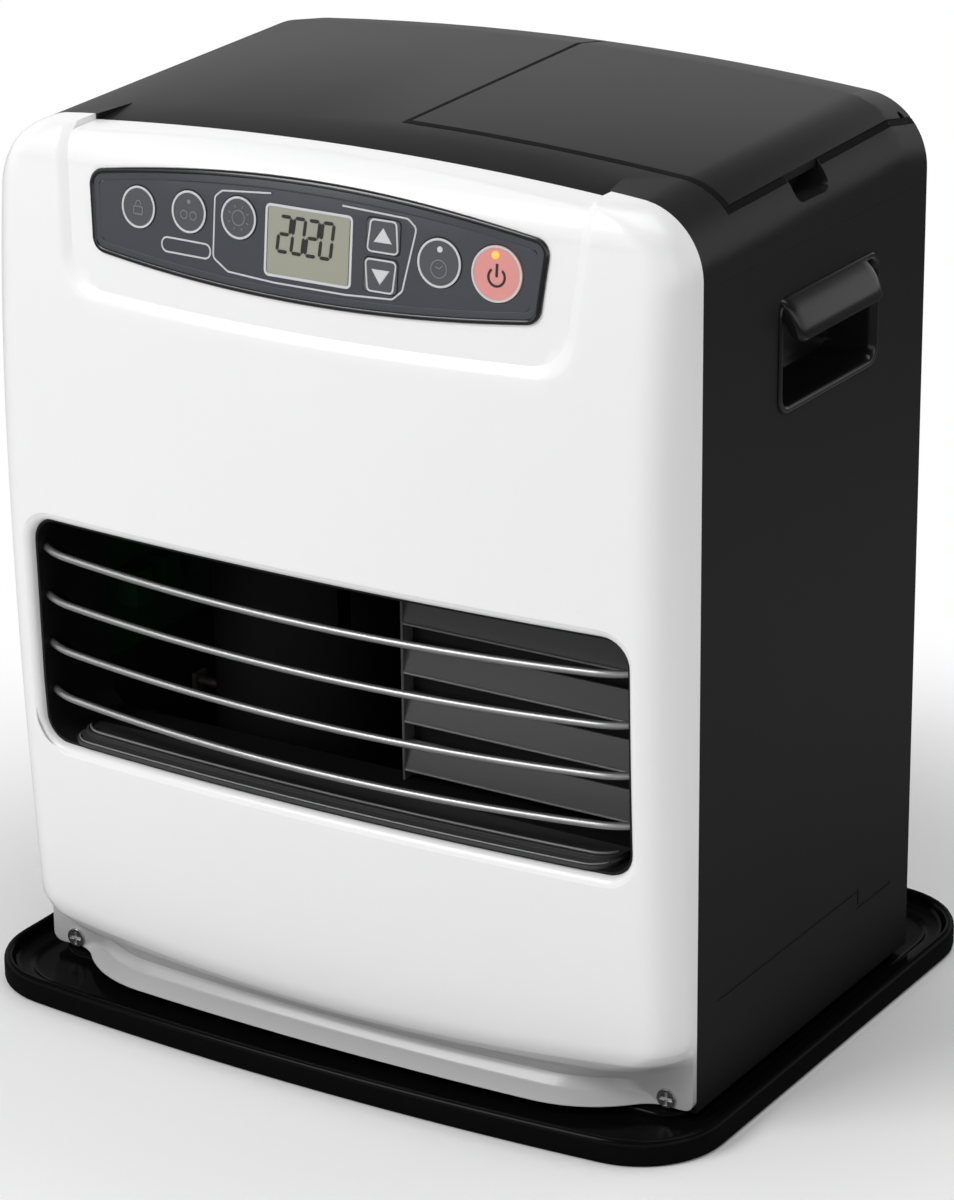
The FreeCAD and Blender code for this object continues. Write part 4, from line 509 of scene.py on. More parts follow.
def outlet_outline(grow):
    return box_outline(-OUTLET_HALF - grow, OUTLET_HALF + grow, OUTLET_FOOT - grow, OUTLET_TOP + grow,
                       OUTLET_CORNER + grow, OUTLET_PARTS)


def thicken(bm, faces, depth):
    """Extrudes faces along y into a solid."""
    made = bmesh.ops.extrude_face_region(bm, geom=faces)
    bmesh.ops.translate(bm, vec=Vector((0, depth * MM, 0)),
                        verts=[v for v in made["geom"] if isinstance(v, bmesh.types.BMVert)])
    bmesh.ops.recalc_face_normals(bm, faces=bm.faces)


def prism(name, outline, y0, y1):
    """Straight piece with an outline in x and z, from y0 to y1."""
    bm = bmesh.new()
    thicken(bm, [bm.faces.new([bm.verts.new(Vector((x, y0, z)) * MM) for x, z in outline])], y1 - y0)
    return new_object(name, bm)


def ring_loft(name, rings, loop=False):
    """Piece through rings of points; a loop joins last to first, else both ends are flat faces."""
    bm = bmesh.new()
    made = [[bm.verts.new(Vector(point) * MM) for point in ring] for ring in rings]
    for a, b in zip(made, made[1:] + made[:1] if loop else made[1:]):
        for i in range(len(a)):
            k = (i + 1) % len(a)
            bm.faces.new((a[i], a[k], b[k], b[i]))
    if not loop:
        bm.faces.new(made[0])
        bm.faces.new(made[-1])
    bmesh.ops.recalc_face_normals(bm, faces=bm.faces)
    return new_object(name, bm)


def ribbon(name, path, offsets, lifts, point_at, paint):
    """Thin strip along a path: its edges lie at two offsets to the left, its faces at two lifts."""
    rings = []
    for index, spot in enumerate(path):
        ahead = Vector(path[min(index + 1, len(path) - 1)]) - Vector(path[max(index - 1, 0)])
        left = Vector((-ahead.y, ahead.x)).normalized()
        near, far = (Vector(spot) + left * offset for offset in offsets)
        rings.append([point_at(near, lifts[0]), point_at(near, lifts[1]),
                      point_at(far, lifts[1]), point_at(far, lifts[0])])
    return dress(ring_loft(name, rings), paint)


def funnel(name, outline_at, steps, front, back):
    """Cutter whose wall follows the front: steps are (grow, depth) pairs from outside in."""
    rings = [[(x, front, z) for x, z in outline_at(steps[0][0])]]
    rings += [[(x, front_y(x, z, depth), z) for x, z in outline_at(grow)] for grow, depth in steps]
    rings.append([(x, back, z) for x, z in outline_at(steps[-1][0])])
    return ring_loft(name, rings)


def make_front():
    """Front pressing: a thin shell with the recess, the outlet with its return flange, and the panel's seat."""
    front = front_body("front_pressing", 0, tabs=True)
    recess = funnel("cutter", recess_outline, RECESS_SLOPE, CUT_FRONT, CUT_BACK)
    combine(front, combine(recess, front_body("core", RECESS_DEPTH, CORE_BACK), "DIFFERENCE"), "DIFFERENCE")
    inner = front_body("inner", FRONT_WALL, FRONT_PLANE + 4, 4)
    keep = combine(prism("keep", recess_outline(FRONT_WALL + 4), CUT_FRONT, CUT_BACK),
                   front_body("core", RECESS_DEPTH + FRONT_WALL, CORE_BACK), "DIFFERENCE")
    combine(inner, keep, "DIFFERENCE")
    collar = prism("collar", outlet_outline(COLLAR_GROW), CUT_FRONT, CUT_BACK)
    combine(collar, front_body("core", COLLAR_DEPTH, CORE_BACK), "DIFFERENCE")
    combine(inner, collar, "DIFFERENCE")
    combine(front, inner, "DIFFERENCE")
    combine(front, funnel("cutter", outlet_outline, OUTLET_BEVEL, CUT_FRONT + 10, CUT_BACK), "DIFFERENCE")
    combine(front, prism("cutter", panel_outline(PANEL_SEAT), CUT_FRONT, CUT_BACK), "DIFFERENCE")
    dress(front, WHITE_ENAMEL, 32)
    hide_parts("front_panel")


def tray_outline(inset, z):
    """Outline of the tray with a bowed front, as points at a height."""
    half, deep, corner = TRAY_HALF - inset, TRAY_DEEP - inset, TRAY_CORNER - inset
    right, _ = bowed_half(half, deep, TRAY_HALF ** 2 / (2 * TRAY_BOW), corner, BOW_STEPS // 2)
    for step in range(CORNER_STEPS + 1):
        angle = math.pi / 2 * step / CORNER_STEPS
        right.append((half - corner + corner * math.cos(angle), deep - corner + corner * math.sin(angle)))
    return [(x, y, z) for x, y in right] + [(-x, y, z) for x, y in right[:0:-1]]


def deck_ring(grow, z):
    return [(x, y, z) for x, y in box_outline(-DECK_HALF - grow, DECK_HALF + grow, DECK_FRONT - grow,
                                              DECK_REAR + grow, DECK_CORNER + grow)]


def make_tray():
    """Drip tray with a rolled lip, a channel inside it and a raised deck under the cabinet, hollow below."""
    tray = ring_loft("drip_tray", [tray_outline(inset, z) for inset, z in TRAY_PROFILE])
    combine(tray, ring_loft("deck", [deck_ring(grow, z) for grow, z in DECK_PROFILE]), "UNION")
    combine(tray, ring_loft("channel", [tray_outline(inset, z) for inset, z in TRAY_CHANNEL]), "DIFFERENCE")
    combine(tray, ring_loft("hollow", [deck_ring(grow, z) for grow, z in DECK_HOLLOW]), "DIFFERENCE")
    dress(tray, TRAY_PLASTIC, 50)
    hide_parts("base_tray")


def make_handle(side, node):
    """Carrying handle: a rimmed pocket with a bulging hood over its upper half."""
    rings = []
    for grow, x in POCKET_RINGS:
        outline = box_outline(POCKET_FRONT - grow, POCKET_REAR + grow, POCKET_FOOT - grow, POCKET_TOP + grow,
                              max(2.5, POCKET_CORNER + grow * 0.7))
        rings.append([(side * x, y, z) for y, z in outline])
    handle = ring_loft("grip_" + ("right" if side > 0 else "left"), rings)
    rings = []
    for y, share in HOOD_STATIONS:
        ring = []
        for x, z in HOOD_SECTION:
            low = (HOOD_TOP - z) / HOOD_DROP
            ring.append((side * (HOOD_ROOT + (x - HOOD_ROOT) * share), y + HOOD_LEAN * low,
                         HOOD_MIDDLE + (z - HOOD_MIDDLE) * (0.5 + 0.5 * share)))
        rings.append(ring)
    combine(handle, ring_loft("hood", rings), "UNION")
    dress(handle, HANDLE_PLASTIC, 35)
    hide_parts(node)


# Nodes of the materials
def feed(tree, node, inputs):
    """Sets a node's inputs to values, or links them to outputs."""
    for name, value in inputs.items():
        if isinstance(value, bpy.types.NodeSocket):
            tree.links.new(value, node.inputs[name])
        else:
            node.inputs[name].default_value = value
    return node


def compute(tree, operation, *terms):
    node = tree.nodes.new("ShaderNodeMath")
    node.operation = operation
    return feed(tree, node, dict(enumerate(terms))).outputs["Value"]


def remap(tree, value, given, wanted, curve="SMOOTHSTEP"):
    """Maps a value from the given range to the wanted one."""
    node = tree.nodes.new("ShaderNodeMapRange")
    node.interpolation_type = curve
    return feed(tree, node, {"Value": value, "From Min": given[0], "From Max": given[1], "To Min": wanted[0],
                             "To Max": wanted[1]}).outputs["Result"]


def mix_colors(tree, factor, first, second):
    node = tree.nodes.new("ShaderNodeMix")
    node.data_type = "RGBA"
    return feed(tree, node, {"Factor": factor, "A": first, "B": second}).outputs["Result"]


def mix_shaders(tree, factor, first, second):
    node = tree.nodes.new("ShaderNodeMixShader")
    return feed(tree, node, {"Fac": factor, 1: first, 2: second}).outputs["Shader"]


def group_noise():
    """Node group with fine grain for the normal, over softened edges, and a broad drift for the mask."""
    group = bpy.data.node_groups.new("Fine grain", "ShaderNodeTree")
    face = group.interface
    face.new_socket("Scale", in_out="INPUT", socket_type="NodeSocketFloat").default_value = 900
    face.new_socket("Strength", in_out="INPUT", socket_type="NodeSocketFloat").default_value = 0.1
    face.new_socket("Normal", in_out="OUTPUT", socket_type="NodeSocketVector")
    face.new_socket("Mask", in_out="OUTPUT", socket_type="NodeSocketFloat")
    nodes = group.nodes
    given = nodes.new("NodeGroupInput").outputs
    place = nodes.new("ShaderNodeTexCoord").outputs["Object"]
    soft = feed(group, nodes.new("ShaderNodeBevel"), {"Radius": 0.0006})
    soft.samples = 4
    fine = feed(group, nodes.new("ShaderNodeTexNoise"), {"Vector": place, "Scale": given["Scale"], "Detail": 3})
    broad = feed(group, nodes.new("ShaderNodeTexNoise"), {"Vector": place, "Scale": 14, "Detail": 4})
    bump = feed(group, nodes.new("ShaderNodeBump"), {"Distance": 0.0002, "Strength": given["Strength"],
                                                     "Height": fine.outputs["Fac"], "Normal": soft.outputs["Normal"]})
    feed(group, nodes.new("NodeGroupOutput"), {"Normal": bump.outputs["Normal"], "Mask": broad.outputs["Fac"]})
    return group


GRAIN = group_noise()


def finish(name, color, roughness, grain=0.1, scale=900, spread=0.06, metallic=0.0, coat=0.0, shift=0.05, specular=0.5,
           coat_rough=0.12):
    """A material with fine grain, and a colour and roughness that drift a little over the piece."""
    mat = bpy.data.materials.new(name)
    mat.use_nodes = True
    tree = mat.node_tree
    effect = tree.nodes.new("ShaderNodeGroup")
    effect.node_tree = GRAIN
    mask = feed(tree, effect, {"Scale": scale, "Strength": grain}).outputs["Mask"]
    darker = (*[max(0, c * (1 - shift)) for c in color], 1)
    lighter = (*[min(1, c * (1 + shift)) for c in color], 1)
    feed(tree, tree.nodes["Principled BSDF"], {
        "Metallic": metallic, "Specular IOR Level": specular, "Coat Weight": coat, "Coat Roughness": coat_rough,
        "Base Color": mix_colors(tree, mask, darker, lighter),
        "Roughness": remap(tree, mask, (0, 1), (max(0.02, roughness - spread), roughness + spread), "LINEAR"),
        "Normal": effect.outputs["Normal"]})
    return mat


def paint_foot_shade(mat):
    """Painted shade under the turned-in edge: the base colour turns grey below a border that sags with the edge."""
    tree = mat.node_tree
    place = tree.nodes.new("ShaderNodeTexCoord").outputs["Object"]
    parts = feed(tree, tree.nodes.new("ShaderNodeSeparateXYZ"), {"Vector": place}).outputs
    square = compute(tree, "MULTIPLY", parts["X"], parts["X"])
    sag = compute(tree, "MULTIPLY_ADD", square, -FOOT_SAG * MM / (CABINET_HALF * MM) ** 2, parts["Z"])
    color = tree.nodes["Principled BSDF"].inputs["Base Color"]
    mask = remap(tree, sag, (FOOT_PAINTED_SHADE_LOW * MM, FOOT_PAINTED_SHADE_HIGH * MM), (1, 0))
    # The grey stands in for the shade under the turned-in edge, not for a colour of the paint.
    tree.links.new(mix_colors(tree, mask, color.links[0].from_socket, FOOT_PAINTED_SHADE), color)


# Finishes: name, colour, roughness, strength of the grain, its scale, spread of the roughness
WHITE_ENAMEL = finish("White enamel with painted foot shade", (0.9, 0.9, 0.9), 0.3, 0.03, 260, 0.04, coat=0.25, shift=0.008)
# Paints shade into the white enamel at the foot.
paint_foot_shade(WHITE_ENAMEL)
DARK_ENAMEL = finish("Dark enamel", (0.018, 0.018, 0.018), 0.45, 0.08, 700, specular=0.0, coat=0.19,
                     coat_rough=0.33)
COVER_PLASTIC = finish("Grained cover plastic", (0.013, 0.013, 0.013), 0.45, 0.18, 1500, specular=0.0, coat=0.42,
                       coat_rough=0.3)
HANDLE_PLASTIC = finish("Handle plastic", (0.008, 0.008, 0.008), 0.35, 0.05, 1500, specular=0.0, coat=0.75,
                        coat_rough=0.2)
TRAY_PLASTIC = finish("Tray plastic", (0.003, 0.003, 0.003), 0.35, 0.06, 900, specular=0.0, coat=0.12,
                      coat_rough=0.16)
BEZEL_GLOSS = finish("Gloss bezel", (0.008, 0.008, 0.009), 0.16, 0.02, 400, 0.03, coat=0.4)
FACE_PRINT = finish("Printed face", (0.05, 0.055, 0.065), 0.4, 0.08, 1800)
BUTTON_RUBBER = finish("Button rubber", (0.075, 0.08, 0.088), 0.45, 0.08, 1800)
PALE_PRINT = finish("Pale print", (0.62, 0.63, 0.64), 0.45, 0.02, 1500)
SIGN_PRINT = finish("Faint print", (0.2, 0.21, 0.22), 0.45, 0.02, 1500)
POWER_PINK = finish("Pink key", (0.72, 0.29, 0.27), 0.4, 0.05, 1500, shift=0.12)
DISPLAY = finish("Display glass", (0.35, 0.35, 0.285), 0.2, 0.02, 700, 0.03, coat=0.5)
DIGIT_DARK = finish("Display digits", (0.03, 0.03, 0.028), 0.3, 0.02, 700)
LOUVER_BRIGHT = finish("Bright louver edge", (0.4, 0.4, 0.4), 0.36, 0.03, 900, 0.04, metallic=0.85)
LOUVER_DARK = finish("Dark louver", (0.003, 0.003, 0.003), 0.5, 0.06, 700, specular=0.05)
DUCT_GREY = finish("Duct enamel", (0.01, 0.01, 0.01), 0.5, 0.1, 700, specular=0.2)
SILL_GREY = finish("Sill enamel", (0.05, 0.05, 0.052), 0.45, 0.1, 700, specular=0.3)
# Lighter than the slats and the sill: the rods' rounding catches real light, and this grey paints a highlight on top
# of it.
EDGE_HIGHLIGHT_GREY = finish("Rolled edge with painted highlight", (0.24, 0.24, 0.245), 0.4, 0.05, 900, metallic=0.2)
SLAT_GREY = finish("Slat enamel", (0.11, 0.11, 0.113), 0.45, 0.08, 700, specular=0.3)
SHEET_STEEL = finish("Zinc sheet", (0.5, 0.51, 0.52), 0.38, 0.15, 500, metallic=0.9, shift=0.1)
HEAT_METAL = finish("Heat darkened metal", (0.16, 0.14, 0.12), 0.5, 0.25, 600, metallic=0.8, shift=0.3)
HEAT_BLACK = finish("Heat resistant black", (0.006, 0.006, 0.006), 0.6, 0.2, 600, specular=0.1, shift=0.2)
SCREW_STEEL = finish("Screw steel", (0.5, 0.5, 0.51), 0.25, 0.08, 900, metallic=0.95)
COPPER = finish("Copper pipe", (0.72, 0.38, 0.24), 0.3, 0.06, 700, metallic=0.95)
BOARD_GREEN = finish("Circuit board", (0.005, 0.024, 0.012), 0.5, 0.15, 1200, specular=0.1)
# Black laid on the cover beside the lid as the seam's painted shadow.
SEAM_PAINTED_SHADOW = finish("Painted seam shadow", (0.004, 0.004, 0.004), 0.6, 0.05, 900, specular=0.05)
DARK_PART = finish("Dark moulding", (0.03, 0.03, 0.032), 0.45, 0.15, 1200)
FAN_ALLOY = finish("Fan alloy", (0.6, 0.6, 0.61), 0.35, 0.08, 700, metallic=0.8)
CLEAR_STRIP = finish("Sight strip", (0.7, 0.7, 0.64), 0.2, 0.02, 700)
GLOW = finish("Lamp lens", (1.0, 0.34, 0.06), 0.3, 0.02, 700)
feed(GLOW.node_tree, GLOW.node_tree.nodes["Principled BSDF"],
     {"Emission Color": (1.0, 0.3, 0.05, 1), "Emission Strength": 1.2})

# Nodes of each finish; a node that isn't listed is a key of the control panel
NODE_PAINTS = (
    (WHITE_ENAMEL, "front_panel"), (TRAY_PLASTIC, "base_tray"), (POWER_PINK, "button_power"),
    (DARK_ENAMEL, "side_panel_left side_panel_right rear_panel tank_partition"),
    (COVER_PLASTIC, "handle_left handle_right top_cover tank_lid"),
    (SCREW_STEEL, "cabinet_screws lid_hinge_pins tank_bail"), (BEZEL_GLOSS, "control_bezel"),
    (FACE_PRINT, "control_face"), (DISPLAY, "lcd_window"), (BOARD_GREEN, "control_board main_board"),
    (DUCT_GREY, "outlet_duct"), (SILL_GREY, "outlet_sill"), (SLAT_GREY, "outlet_baffle"),
    (LOUVER_DARK, "louver_1 louver_2 louver_3 louver_4"), (CLEAR_STRIP, "tank_gauge"), (COPPER, "fuel_pipe"),
    (SHEET_STEEL, "cartridge_tank fixed_tank fuel_pump burner_deck blower_housing blower_motor fan_motor fan_bracket"),
    (HEAT_METAL, "burner_pot burner_head vaporizer igniter flame_rod"),
    (HEAT_BLACK, "combustion_chamber heat_shield"), (FAN_ALLOY, "blower_impeller fan_blades"),
    (DARK_PART, "lcd_module tank_cap fuel_strainer fan_guard rear_filter tilt_switch room_sensor cord_gland"))
NODE_FINISH = {name: paint for paint, names in NODE_PAINTS for name in names.split()}


def smooth_group():
    """Geometry nodes that join loose triangles and shade the shallow edges smooth."""
    group = bpy.data.node_groups.new("Smooth shallow edges", "GeometryNodeTree")
    group.interface.new_socket("Geometry", in_out="INPUT", socket_type="NodeSocketGeometry")
    group.interface.new_socket("Geometry", in_out="OUTPUT", socket_type="NodeSocketGeometry")
    nodes = group.nodes
    merge = feed(group, nodes.new("GeometryNodeMergeByDistance"),
                 {"Geometry": nodes.new("NodeGroupInput").outputs["Geometry"], "Distance": 0.00001})
    faces = nodes.new("GeometryNodeSetShadeSmooth")
    faces.domain = "FACE"
    feed(group, faces, {"Geometry": merge.outputs["Geometry"]})
    shallow = nodes.new("FunctionNodeCompare")
    shallow.data_type = "FLOAT"
    shallow.operation = "LESS_THAN"
    angle = nodes.new("GeometryNodeInputMeshEdgeAngle").outputs["Unsigned Angle"]
    feed(group, shallow, {0: angle, 1: math.radians(28)})
    edges = nodes.new("GeometryNodeSetShadeSmooth")
    edges.domain = "EDGE"
    feed(group, edges, {"Geometry": faces.outputs["Geometry"], "Shade Smooth": shallow.outputs["Result"]})
    feed(group, nodes.new("NodeGroupOutput"), {"Geometry": edges.outputs["Geometry"]})
    return group


def dress_nodes():
    """Paints the pieces that keep the solids' own shape."""
    smooth = smooth_group()
    for name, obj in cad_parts.items():
        obj.data.materials.clear()
        obj.data.materials.append(NODE_FINISH.get(name, BUTTON_RUBBER))
        obj.modifiers.new("smooth", "NODES").node_group = smooth


# Marks on the control panel
def face_point(spot, lift):
    """Place of a mark's point in front of the control face; the spot is (x, z)."""
    x, z = spot
    return x, front_y(x, z, FACE_DEPTH) - lift, z


def flat_mark(name, outline, body="cabinet", paint=PALE_PRINT, hole=(), lift=None, thick=PRINT_THICK):
    """A thin printed mark that follows the control face, or a key; an inner outline makes it a ring."""
    if lift is None:
        lift = PRINT_LIFT if body == "cabinet" else KEY_LIFT
    bm = bmesh.new()
    outer, inner = ([bm.verts.new(Vector(face_point(spot, lift)) * MM) for spot in line] for line in (outline, hole))
    if hole:
        faces = [bm.faces.new((outer[i - 1], outer[i], inner[i], inner[i - 1])) for i in range(len(outer))]
    else:
        faces = [bm.faces.new(outer)]
    thicken(bm, faces, -thick)
    return dress(new_object(name, bm), paint, body=body)


def panel_loop(name, profile, paint):
    """A closed moulding round the control panel; profile points are (inset, depth)."""
    outline = panel_outline(0)
    rings = []
    for inset, depth in profile:
        ring = []
        for index, point in enumerate(outline):
            ahead = Vector(outline[(index + 1) % len(outline)]) - Vector(outline[index - 1])
            x, z = Vector(point) + Vector((-ahead.y, ahead.x)).normalized() * inset
            ring.append((x, front_y(x, z, depth), z))
        rings.append(ring)
    return dress(ring_loft(name, rings, loop=True), paint, 40)


def make_bezel():
    """A slim gloss rim, with the printed face running out to it."""
    rim = panel_loop("bezel_rim", RIM_PROFILE, BEZEL_GLOSS)
    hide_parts("control_bezel")
    panel_loop("face_border", BORDER_PROFILE, FACE_PRINT)


def oval(x, z, across, up, angles):
    """Points round a centre, at angles in degrees."""
    return [(x + across * math.cos(math.radians(a)), z + up * math.sin(math.radians(a))) for a in angles]


def circle(x, z, radius, steps=48):
    return oval(x, z, radius, radius, [360 * i / steps for i in range(steps)])


def ring_mark(name, x, z, radius, body, width=SIGN_STROKE, paint=SIGN_PRINT):
    return flat_mark(name, circle(x, z, radius), body, paint, circle(x, z, radius - width))


def frame_mark(name, left, right, foot, top, corner, width, body="cabinet", paint=PALE_PRINT):
    inner = box_outline(left + width, right - width, foot + width, top - width, max(0.3, corner - width))
    return flat_mark(name, box_outline(left, right, foot, top, corner), body, paint, inner)


def line_mark(name, start, end, body):
    a, b = Vector(start), Vector(end)
    side = (b - a).normalized().orthogonal() * SIGN_STROKE / 2
    return flat_mark(name, [a - side, b - side, b + side, a + side], body, SIGN_PRINT)


def bend_path(points, corner):
    """An open line through points, with its corners bent round."""
    path = [Vector(points[0])]
    for before, spot, after in zip(points, points[1:], points[2:]):
        before, spot, after = Vector(before), Vector(spot), Vector(after)
        into, out = (before - spot).normalized(), (after - spot).normalized()
        reach = 0.45 * min((spot - before).length, (after - spot).length)
        trim = min(reach, corner / math.tan(into.angle(out) / 2))
        start, end = spot + into * trim, spot + out * trim
        path += [bend(step / 6, start, spot, end) for step in range(7)]
    return path + [Vector(points[-1])]


def digit_marks():
    """Seven-part numerals on the display."""
    for place, sign in enumerate(DIGITS):
        left = DIGIT_LEFT + place * DIGIT_PITCH
        for part in SEGMENTS[sign]:
            start, end = (Vector((x * DIGIT_WIDTH, z * DIGIT_HEIGHT / 2)) for x, z in SEGMENT_ENDS[part])
            along = (end - start).normalized()
            side = Vector((-along.y, along.x)) * DIGIT_STROKE / 2
            start, end = start + along * DIGIT_GAP, end - along * DIGIT_GAP
            tip = along * DIGIT_STROKE / 2
            points = [start, start + tip - side, end - tip - side, end, end - tip + side, start + tip + side]
            outline = [(left + p.x + DIGIT_LEAN * p.y, DIGIT_FOOT + p.y) for p in points]
            flat_mark("digit_%d_%s" % (place + 1, part), outline, "cabinet", DIGIT_DARK, (), DIGIT_LIFT, DIGIT_THICK)


def key_outline(x, z, way, inset):
    """Outline of an arrow key, which narrows the way it points."""
    near, far, tall = ARROW_NEAR - inset, ARROW_FAR - inset, ARROW_TALL - inset
    low, high = (near, far) if way > 0 else (far, near)
    return round_corners([[(x - low, z - tall), (x + low, z - tall)], [(x + high, z + tall), (x - high, z + tall)]],
                         ARROW_CORNER - inset)


def button_signs():
    """Small faint signs on the round keys: a padlock, two rings with a lamp, a sun and a clock."""
    (x, z), body = SIGN_PLACES["button_lock"], "button_lock_key"
    frame_mark("lock_sign_body", x - 2.6, x + 2.6, z - 3.2, z + 0.6, 0.6, SIGN_STROKE, body, SIGN_PRINT)
    arch = oval(x, z + 0.9, 1.7, 2.2, range(0, 181, 20)) + oval(x, z + 0.9, 1.1, 1.6, range(180, -1, -20))
    flat_mark("lock_sign_arch", arch, body, SIGN_PRINT)
    (x, z), body = SIGN_PLACES["button_extend"], "button_extend_key"
    ring_mark("extend_sign_left", x - 2.4, z - 0.4, 2.0, body)
    ring_mark("extend_sign_right", x + 2.4, z - 0.4, 2.0, body)
    flat_mark("extend_lamp", circle(x, z + 5.2, 1.0, 20), body, SIGN_PRINT)
    (x, z), body = SIGN_PLACES["button_mode"], "button_mode_key"
    ring_mark("mode_sign", x, z, 3.4, body)
    for step in range(8):
        turn = math.radians(45 * step + 22.5)
        way = Vector((math.cos(turn), math.sin(turn)))
        line_mark("mode_sign_ray_%d" % step, Vector((x, z)) + way * 4.3, Vector((x, z)) + way * 5.6, body)
    (x, z), body = SIGN_PLACES["button_timer"], "button_timer_key"
    ring_mark("timer_sign", x, z, 3.9, body)
    line_mark("timer_hand_long", (x, z), (x + 1.9, z + 1.6), body)
    line_mark("timer_hand_short", (x + 0.2, z), (x - 1.6, z + 0.9), body)


def control_marks():
    """Signs, rings, frames, digits and lamps of the control panel."""
    button_signs()
    for name, (x, z, radius) in ROUND_KEYS.items():
        ring_mark(name + "_ring", x, z, radius - 0.1, name + "_key", 1.0, PALE_PRINT)
    frame_mark("pill_frame", -73.5, -47.3, 359.5, 366.4, 3.3, FRAME_STROKE)
    frame_mark("display_frame", -20.4, 22.6, 357.4, 387.6, 2.5, 1.2)
    ribbon("group_frame", bend_path(GROUP_FRAME, GROUP_CORNER), (FRAME_STROKE / 2, -FRAME_STROKE / 2),
           (PRINT_LIFT, PRINT_LIFT + PRINT_THICK), face_point, PALE_PRINT)
    for name, (x, z, way) in ARROW_KEYS.items():
        flat_mark(name + "_frame", key_outline(x, z, way, 0), name + "_key", hole=key_outline(x, z, way, FRAME_STROKE))
        flat_mark(name + "_arrow", [(x - 4.4, z - 2.6 * way), (x + 4.4, z - 2.6 * way), (x, z + 3.6 * way)],
                  name + "_key")
    digit_marks()
    (x, z), body = SIGN_PLACES["button_power"], "button_power_key"
    arc = oval(x, z, 4.2, 4.2, range(50, -231, -10)) + oval(x, z, 3.2, 3.2, range(-230, 51, 10))
    flat_mark("power_sign_arc", arc, body, DIGIT_DARK)
    flat_mark("power_sign_bar", [(x - 0.55, z), (x + 0.55, z), (x + 0.55, z + 5.4), (x - 0.55, z + 5.4)], body,
              DIGIT_DARK)
    flat_mark("power_lamp", circle(89.4, 380.6, 1.7, 20), body, GLOW, thick=0.3)
    flat_mark("timer_lamp", circle(64.0, 379.6, 1.3, 20), "button_timer_key", thick=0.2)


# Outlet
def swept_rod(name, points, radius, paint):
    """Round rod along a line."""
    curve = bpy.data.curves.new(name, "CURVE")
    curve.dimensions = "3D"
    spline = curve.splines.new("POLY")
    spline.points.add(len(points) - 1)
    for target, point in zip(spline.points, points):
        target.co = (*(Vector(point) * MM), 1)
    curve.bevel_depth = radius * MM
    curve.bevel_resolution = 3
    curve.use_fill_caps = True
    path = place_object(name, curve)
    mesh = final_mesh(path)
    bpy.data.objects.remove(path)
    return dress(place_object(name, mesh), paint, 40)


def sill_run(reach, z):
    """Points along a bowed line with its ends curving back into the duct."""
    back = -reach + SILL_CORNER
    return [p for p in plan_points(SILL_HALF, reach, BOW_RADIUS, SILL_CORNER, back, z) if p[1] < back]


def louver_run(reach, z):
    """Points along a louver's front edge, which bends back faster near the duct's side walls."""
    points = []
    for step in range(-LOUVER_STEPS, LOUVER_STEPS + 1):
        x = LOUVER_HALF * step / LOUVER_STEPS
        bend = max(0, abs(x) - LOUVER_BEND_START) ** 2 * LOUVER_BEND_SHARE
        points.append((x, x * x / (2 * LOUVER_BOW) - reach + bend, z + LOUVER_RISE * (x / LOUVER_HALF) ** 2))
    return points


def make_louver(index):
    """A bowed blade that falls to the rear, with a bright rolled front edge."""
    z = LOUVER_TOP - index * LOUVER_PITCH
    edge = louver_run(barrel_reach(z) - LOUVER_EDGE_RADIUS, z)
    bm = bmesh.new()
    front = [bm.verts.new(Vector(point) * MM) for point in edge]
    rear = [bm.verts.new(Vector((x, y + LOUVER_DEPTH, z - LOUVER_FALL)) * MM) for x, y, z in edge]
    faces = [bm.faces.new((front[i], front[i + 1], rear[i + 1], rear[i])) for i in range(len(edge) - 1)]
    bmesh.ops.recalc_face_normals(bm, faces=bm.faces)
    bmesh.ops.solidify(bm, geom=faces, thickness=LOUVER_SHEET * MM)
    bmesh.ops.recalc_face_normals(bm, faces=bm.faces)
    blade = dress(new_object("louver_blade_%d" % (index + 1), bm), LOUVER_DARK, 30)
    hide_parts("louver_%d" % (index + 1))
    swept_rod("louver_edge_%d" % (index + 1), edge, LOUVER_EDGE_RADIUS, LOUVER_BRIGHT)


def outlet_trim():
    """The louvers, the edges of the slats behind them, and the beads of the sill; the edges and beads are a lighter
    grey than the slats and sill, a painted highlight.
    """
    for index in range(LOUVER_COUNT):
        make_louver(index)
        z = SLAT_TOP - index * LOUVER_PITCH
        swept_rod("slat_edge_%d" % (index + 1), [(SLAT_LEFT, SLAT_FRONT, z), (SLAT_RIGHT, SLAT_FRONT, z)],
                  SLAT_EDGE_RADIUS, EDGE_HIGHLIGHT_GREY)
    for name, back, z, radius in SILL_BEADS:
        swept_rod(name, sill_run(barrel_reach(SILL_LINE) - back, z), radius, EDGE_HIGHLIGHT_GREY)


# Painted shadow of the seam round the lid
def top_height(x, y):
    """Height of the cover's outer face, which climbs to a ridge and falls to the rear."""
    rise = RIDGE_RISE * (y - FRONT_PLANE) / (RIDGE_Y - FRONT_PLANE)
    if y > RIDGE_Y:
        rise = RIDGE_RISE + (REAR_RISE - RIDGE_RISE) * (y - RIDGE_Y) / (REAR_FACE - RIDGE_Y)
    crown_z = CROWN_TOP + rise - CROWN_RADIUS
    if abs(x) < SHOULDER_X * CROWN_RADIUS / (CROWN_RADIUS - CROWN_CORNER):
        return crown_z + math.sqrt(CROWN_RADIUS ** 2 - x * x)
    return crown_z + SHOULDER_RISE + math.sqrt(max(0, CROWN_CORNER ** 2 - (abs(x) - SHOULDER_X) ** 2))


def cover_point(spot, lift):
    """Place of a seam's point over the cover; the spot is (x, y)."""
    x, y = spot
    return x, y, top_height(x, y) + lift


